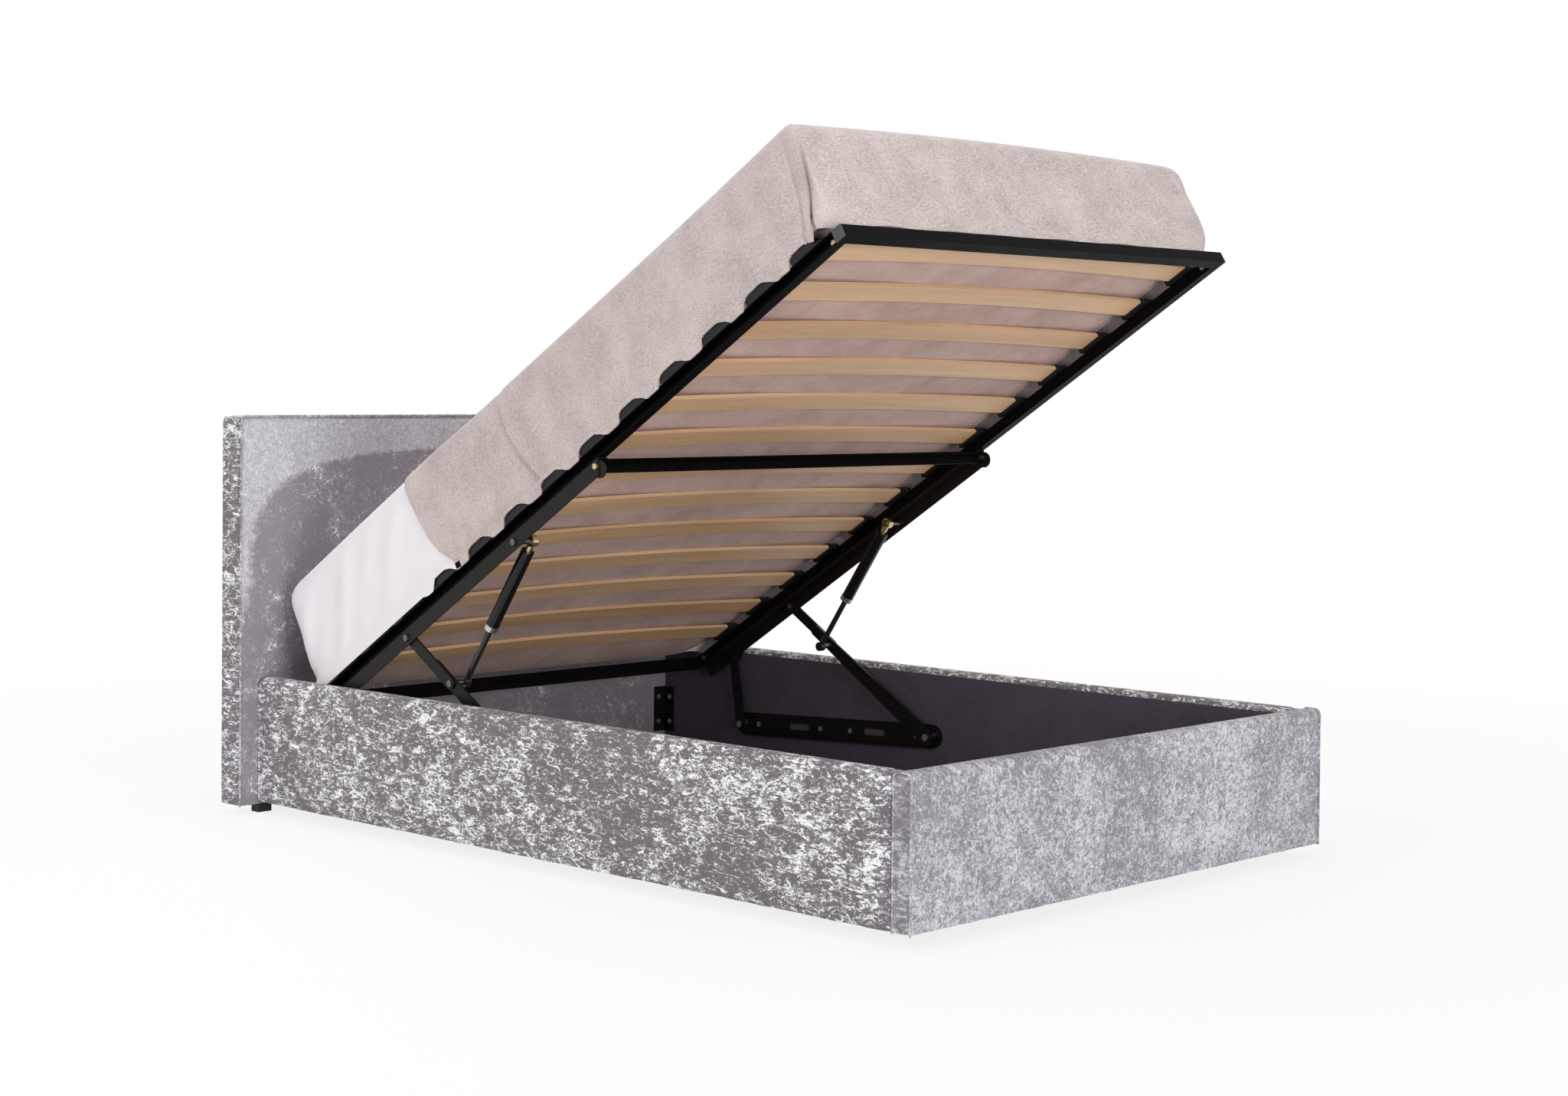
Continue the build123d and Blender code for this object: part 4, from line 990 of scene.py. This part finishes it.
def makeBedspread():
    dims = spreadDims
    half = mattressDims["halfWidth"] + dims["grow"]
    start = mattressDims["foot"] - dims["grow"]
    piece = clothBlock("bedspreadCloth", dims)
    edgeTop, creaseTop = dims["edge"][0][1], dims["crease"][0][1]
    cutAway(piece, (0, edgeTop, 0), (0, 1, 0))
    zone = dims["creaseZone"]
    for cuts, near in ((dims["creaseCuts"], lambda place: abs(place.y - creaseTop) < zone),
                       (dims["hemCuts"], lambda place: place.z < dims["hemZone"])):
        subdivideParts(piece, "FACE", lambda face: near(face.calc_center_median()), cuts)
    foldCorners(piece, half, start)
    columns = [vert.co.y for vert in piece.data.vertices if abs(vert.co.y - creaseTop) < zone]
    column = min(columns, key=lambda y: abs(y - creaseTop))
    lean, fan = dims["footSlant"]
    faceFrom, faceFull = (half - inset for inset in dims["footInset"])
    for vert in piece.data.vertices:
        p = vert.co
        y = p.y
        outward = Vector((math.copysign(1, p.x), 0, 0))
        sideways = smoothStep(half - dims["sideInset"], half - dims["sideFull"], abs(p.x))
        lower = smoothStep(*dims["lower"], p.z)
        # the upper layer ends in a fold, and the cloth toward the head lies a little deeper
        past = y - column
        if past > hair:
            deeper = dims["creaseStep"] * smoothStep(*dims["stepRun"], past)
            deeper += dims["creaseDent"] * bell(past, dims["creaseRun"])
            p -= outward * deeper * sideways
            p.z -= deeper * (1 - sideways)
        p.y += (lineAt(dims["crease"], p.z) - column) * smoothStep(dims["lineRun"], 0.0, abs(past))
        p.y += (lineAt(dims["edge"], p.z) - edgeTop) * smoothStep(edgeTop - dims["lineRun"], edgeTop, y)
        if y > dims["cornerEnd"]:
            lowerHem(p, hemHeight(p.y))
            # shallow folds, and tucks gathered at each slat holder
            wave = ripple(0, y, p.z * dims["foldFan"], dims["foldSize"], dims["foldSeed"])
            fine = ripple(0, y, p.z * dims["fineFan"], dims["fineSize"], dims["fineSeed"])
            wave += dims["fineShare"] * fine
            turns = dims["tucksEach"] * (y - hemDims["firstHolder"]) / hemDims["holderPitch"]
            turns += dims["tuckDrift"] * ripple(0, y, 0, dims["tuckDriftSize"], dims["tuckSeed"])
            tuck = math.cos(2 * math.pi * turns) * smoothStep(*dims["tuckHeight"], p.z)
            push = dims["fold"] * wave * (dims["foldTop"] + dims["foldLow"] * lower) + dims["tuck"] * tuck
            p += outward * push * sideways * smoothStep(*dims["foldAlong"], y)
        else:
            onSide = smoothStep(*dims["sideHem"], y)
            lowerHem(p, hemDims["footFace"] + (hemDims["side"] - hemDims["footFace"]) * onSide)
            face = smoothStep(*dims["footAlong"], y) * smoothStep(faceFrom, faceFull, abs(p.x))
            wave = ripple(p.x + p.z * lean, 0, p.z * fan, dims["footSize"], dims["footSeed"])
            p.y += dims["footFold"] * wave * face * smoothStep(*dims["footHeight"], p.z)
    plumpUp(piece, dims["grow"], hemDims["low"])
    clearFrame(piece)
    thickenCloth(piece, dims["thickness"])
    settle(piece, "bedspread", cloths["bedspreadLinen"], dims["shadeAngle"])


makeMattress()
makeSheet()
makeBedspread()
print("stage: bedding made")

stageDims = {
    "size": 60.0, "drop": 0.0005, "colour": (0.86, 0.86, 0.86), "roughness": 0.9,
    "fade": {"From Min": 1.8, "From Max": 3.6, "To Min": 0.83},
}


def makeStage():
    dims = stageDims
    clearSelection()
    bpy.ops.mesh.primitive_plane_add(size=dims["size"], location=(0, 0, -dims["drop"]))
    floor = bpy.context.object
    floor.name = "floorStage"
    bpy.ops.object.transform_apply(location=True, rotation=True, scale=True)
    material, tree, shader, place = newMaterial(
        "floorWhite", {"Roughness": dims["roughness"], "Base Color": (*dims["colour"], 1)})
    glow = addNode(tree, "ShaderNodeEmission")
    path = addNode(tree, "ShaderNodeLightPath")
    seen = mathNode(tree, "MAXIMUM", path.outputs["Is Camera Ray"], path.outputs["Is Glossy Ray"])
    away = addNode(tree, "ShaderNodeVectorMath", operation="LENGTH")
    tree.links.new(place, away.inputs[0])
    fade = addNode(tree, "ShaderNodeMapRange")  # pure white from a few metres out, so no horizon shows
    tree.links.new(away.outputs["Value"], fade.inputs["Value"])
    setInputs(fade, dims["fade"])
    mix = addNode(tree, "ShaderNodeMixShader")
    tree.links.new(mathNode(tree, "MULTIPLY", seen, fade.outputs[0]), mix.inputs[0])
    tree.links.new(shader.outputs[0], mix.inputs[1])
    tree.links.new(glow.outputs[0], mix.inputs[2])
    tree.links.new(mix.outputs[0], tree.nodes["Material Output"].inputs["Surface"])
    setMaterials(floor, material)


worldDims = {"colour": (0.97, 0.98, 1.0), "strength": 0.42}


def makeWorld():
    # soft light all round, with plain white where the camera sees past the floor
    world = bpy.data.worlds.new("studio")
    bpy.context.scene.world = world
    world.use_nodes = True
    tree = world.node_tree
    tree.nodes.clear()
    soft = addNode(tree, "ShaderNodeBackground")
    setInputs(soft, {"Color": (*worldDims["colour"], 1), "Strength": worldDims["strength"]})
    white = addNode(tree, "ShaderNodeBackground")
    white.inputs["Color"].default_value = (1, 1, 1, 1)
    path = addNode(tree, "ShaderNodeLightPath")
    bent = mathNode(tree, "MAXIMUM", path.outputs["Is Glossy Ray"], path.outputs["Is Transmission Ray"])
    seen = mathNode(tree, "MAXIMUM", path.outputs["Is Camera Ray"], bent)
    mix = addNode(tree, "ShaderNodeMixShader")
    output = addNode(tree, "ShaderNodeOutputWorld")
    tree.links.new(seen, mix.inputs[0])
    tree.links.new(soft.outputs[0], mix.inputs[1])
    tree.links.new(white.outputs[0], mix.inputs[2])
    tree.links.new(mix.outputs[0], output.inputs["Surface"])


lampDims = {
    "frontLamp": {"place": (-2.0, -9.0, 0.8), "aim": (0.0, 0.0, 0.7), "size": 3.0, "power": 590.0},
    "sideLamp": {"place": (-5.4, -0.6, 2.4), "aim": (-0.5, 0.2, 0.6), "size": 3.2, "power": 116.0},
    "topLamp": {"place": (0.2, 0.8, 5.0), "aim": (0.0, 0.2, 0.0), "size": 4.0, "power": 150.0},
}


def makeLamps():
    for name, dims in lampDims.items():
        lamp = bpy.data.lights.new(name, "AREA")
        lamp.shape = "SQUARE"
        lamp.size = dims["size"]
        lamp.energy = dims["power"]
        holder = bpy.data.objects.new(name, lamp)
        bpy.context.scene.collection.objects.link(holder)
        holder.location = dims["place"]
        away = Vector(dims["place"]) - Vector(dims["aim"])
        holder.rotation_euler = away.to_track_quat("Z", "Y").to_euler()


cameraDims = {
    "place": (-3.94012, -3.95952, 0.98462), "yawPitchRoll": (0.81754, -0.01780, 0.00888),
    "focal": 3332.23, "centre": (1106.37, 559.94), "frameSize": (2048.0, 1431.0),  # in pixels
    "sensor": 36.0, "clip": (0.1, 100),
}


def makeCamera():
    dims = cameraDims
    yaw, pitch, roll = dims["yawPitchRoll"]
    ahead = Vector((math.sin(yaw) * math.cos(pitch), math.cos(yaw) * math.cos(pitch), math.sin(pitch)))
    right = ahead.cross(Vector((0, 0, 1))).normalized()
    up = right.cross(ahead)
    rightTurned = right * math.cos(roll) + up * math.sin(roll)
    upTurned = up * math.cos(roll) - right * math.sin(roll)
    data = bpy.data.cameras.new("photoCamera")
    camera = bpy.data.objects.new("photoCamera", data)
    bpy.context.scene.collection.objects.link(camera)
    turn = Matrix((rightTurned, upTurned, -ahead)).transposed()
    camera.matrix_world = Matrix.Translation(dims["place"]) @ turn.to_4x4()
    width, height = dims["frameSize"]
    data.sensor_fit = "HORIZONTAL"
    data.sensor_width = dims["sensor"]
    data.lens = dims["focal"] / width * dims["sensor"]
    data.shift_x = (width / 2 - dims["centre"][0]) / width
    data.shift_y = (dims["centre"][1] - height / 2) / width
    data.clip_start, data.clip_end = dims["clip"]
    bpy.context.scene.camera = camera


makeStage()
makeWorld()
makeLamps()
makeCamera()
bpy.context.scene.view_settings.view_transform = "Standard"
print("stage: camera and light set")
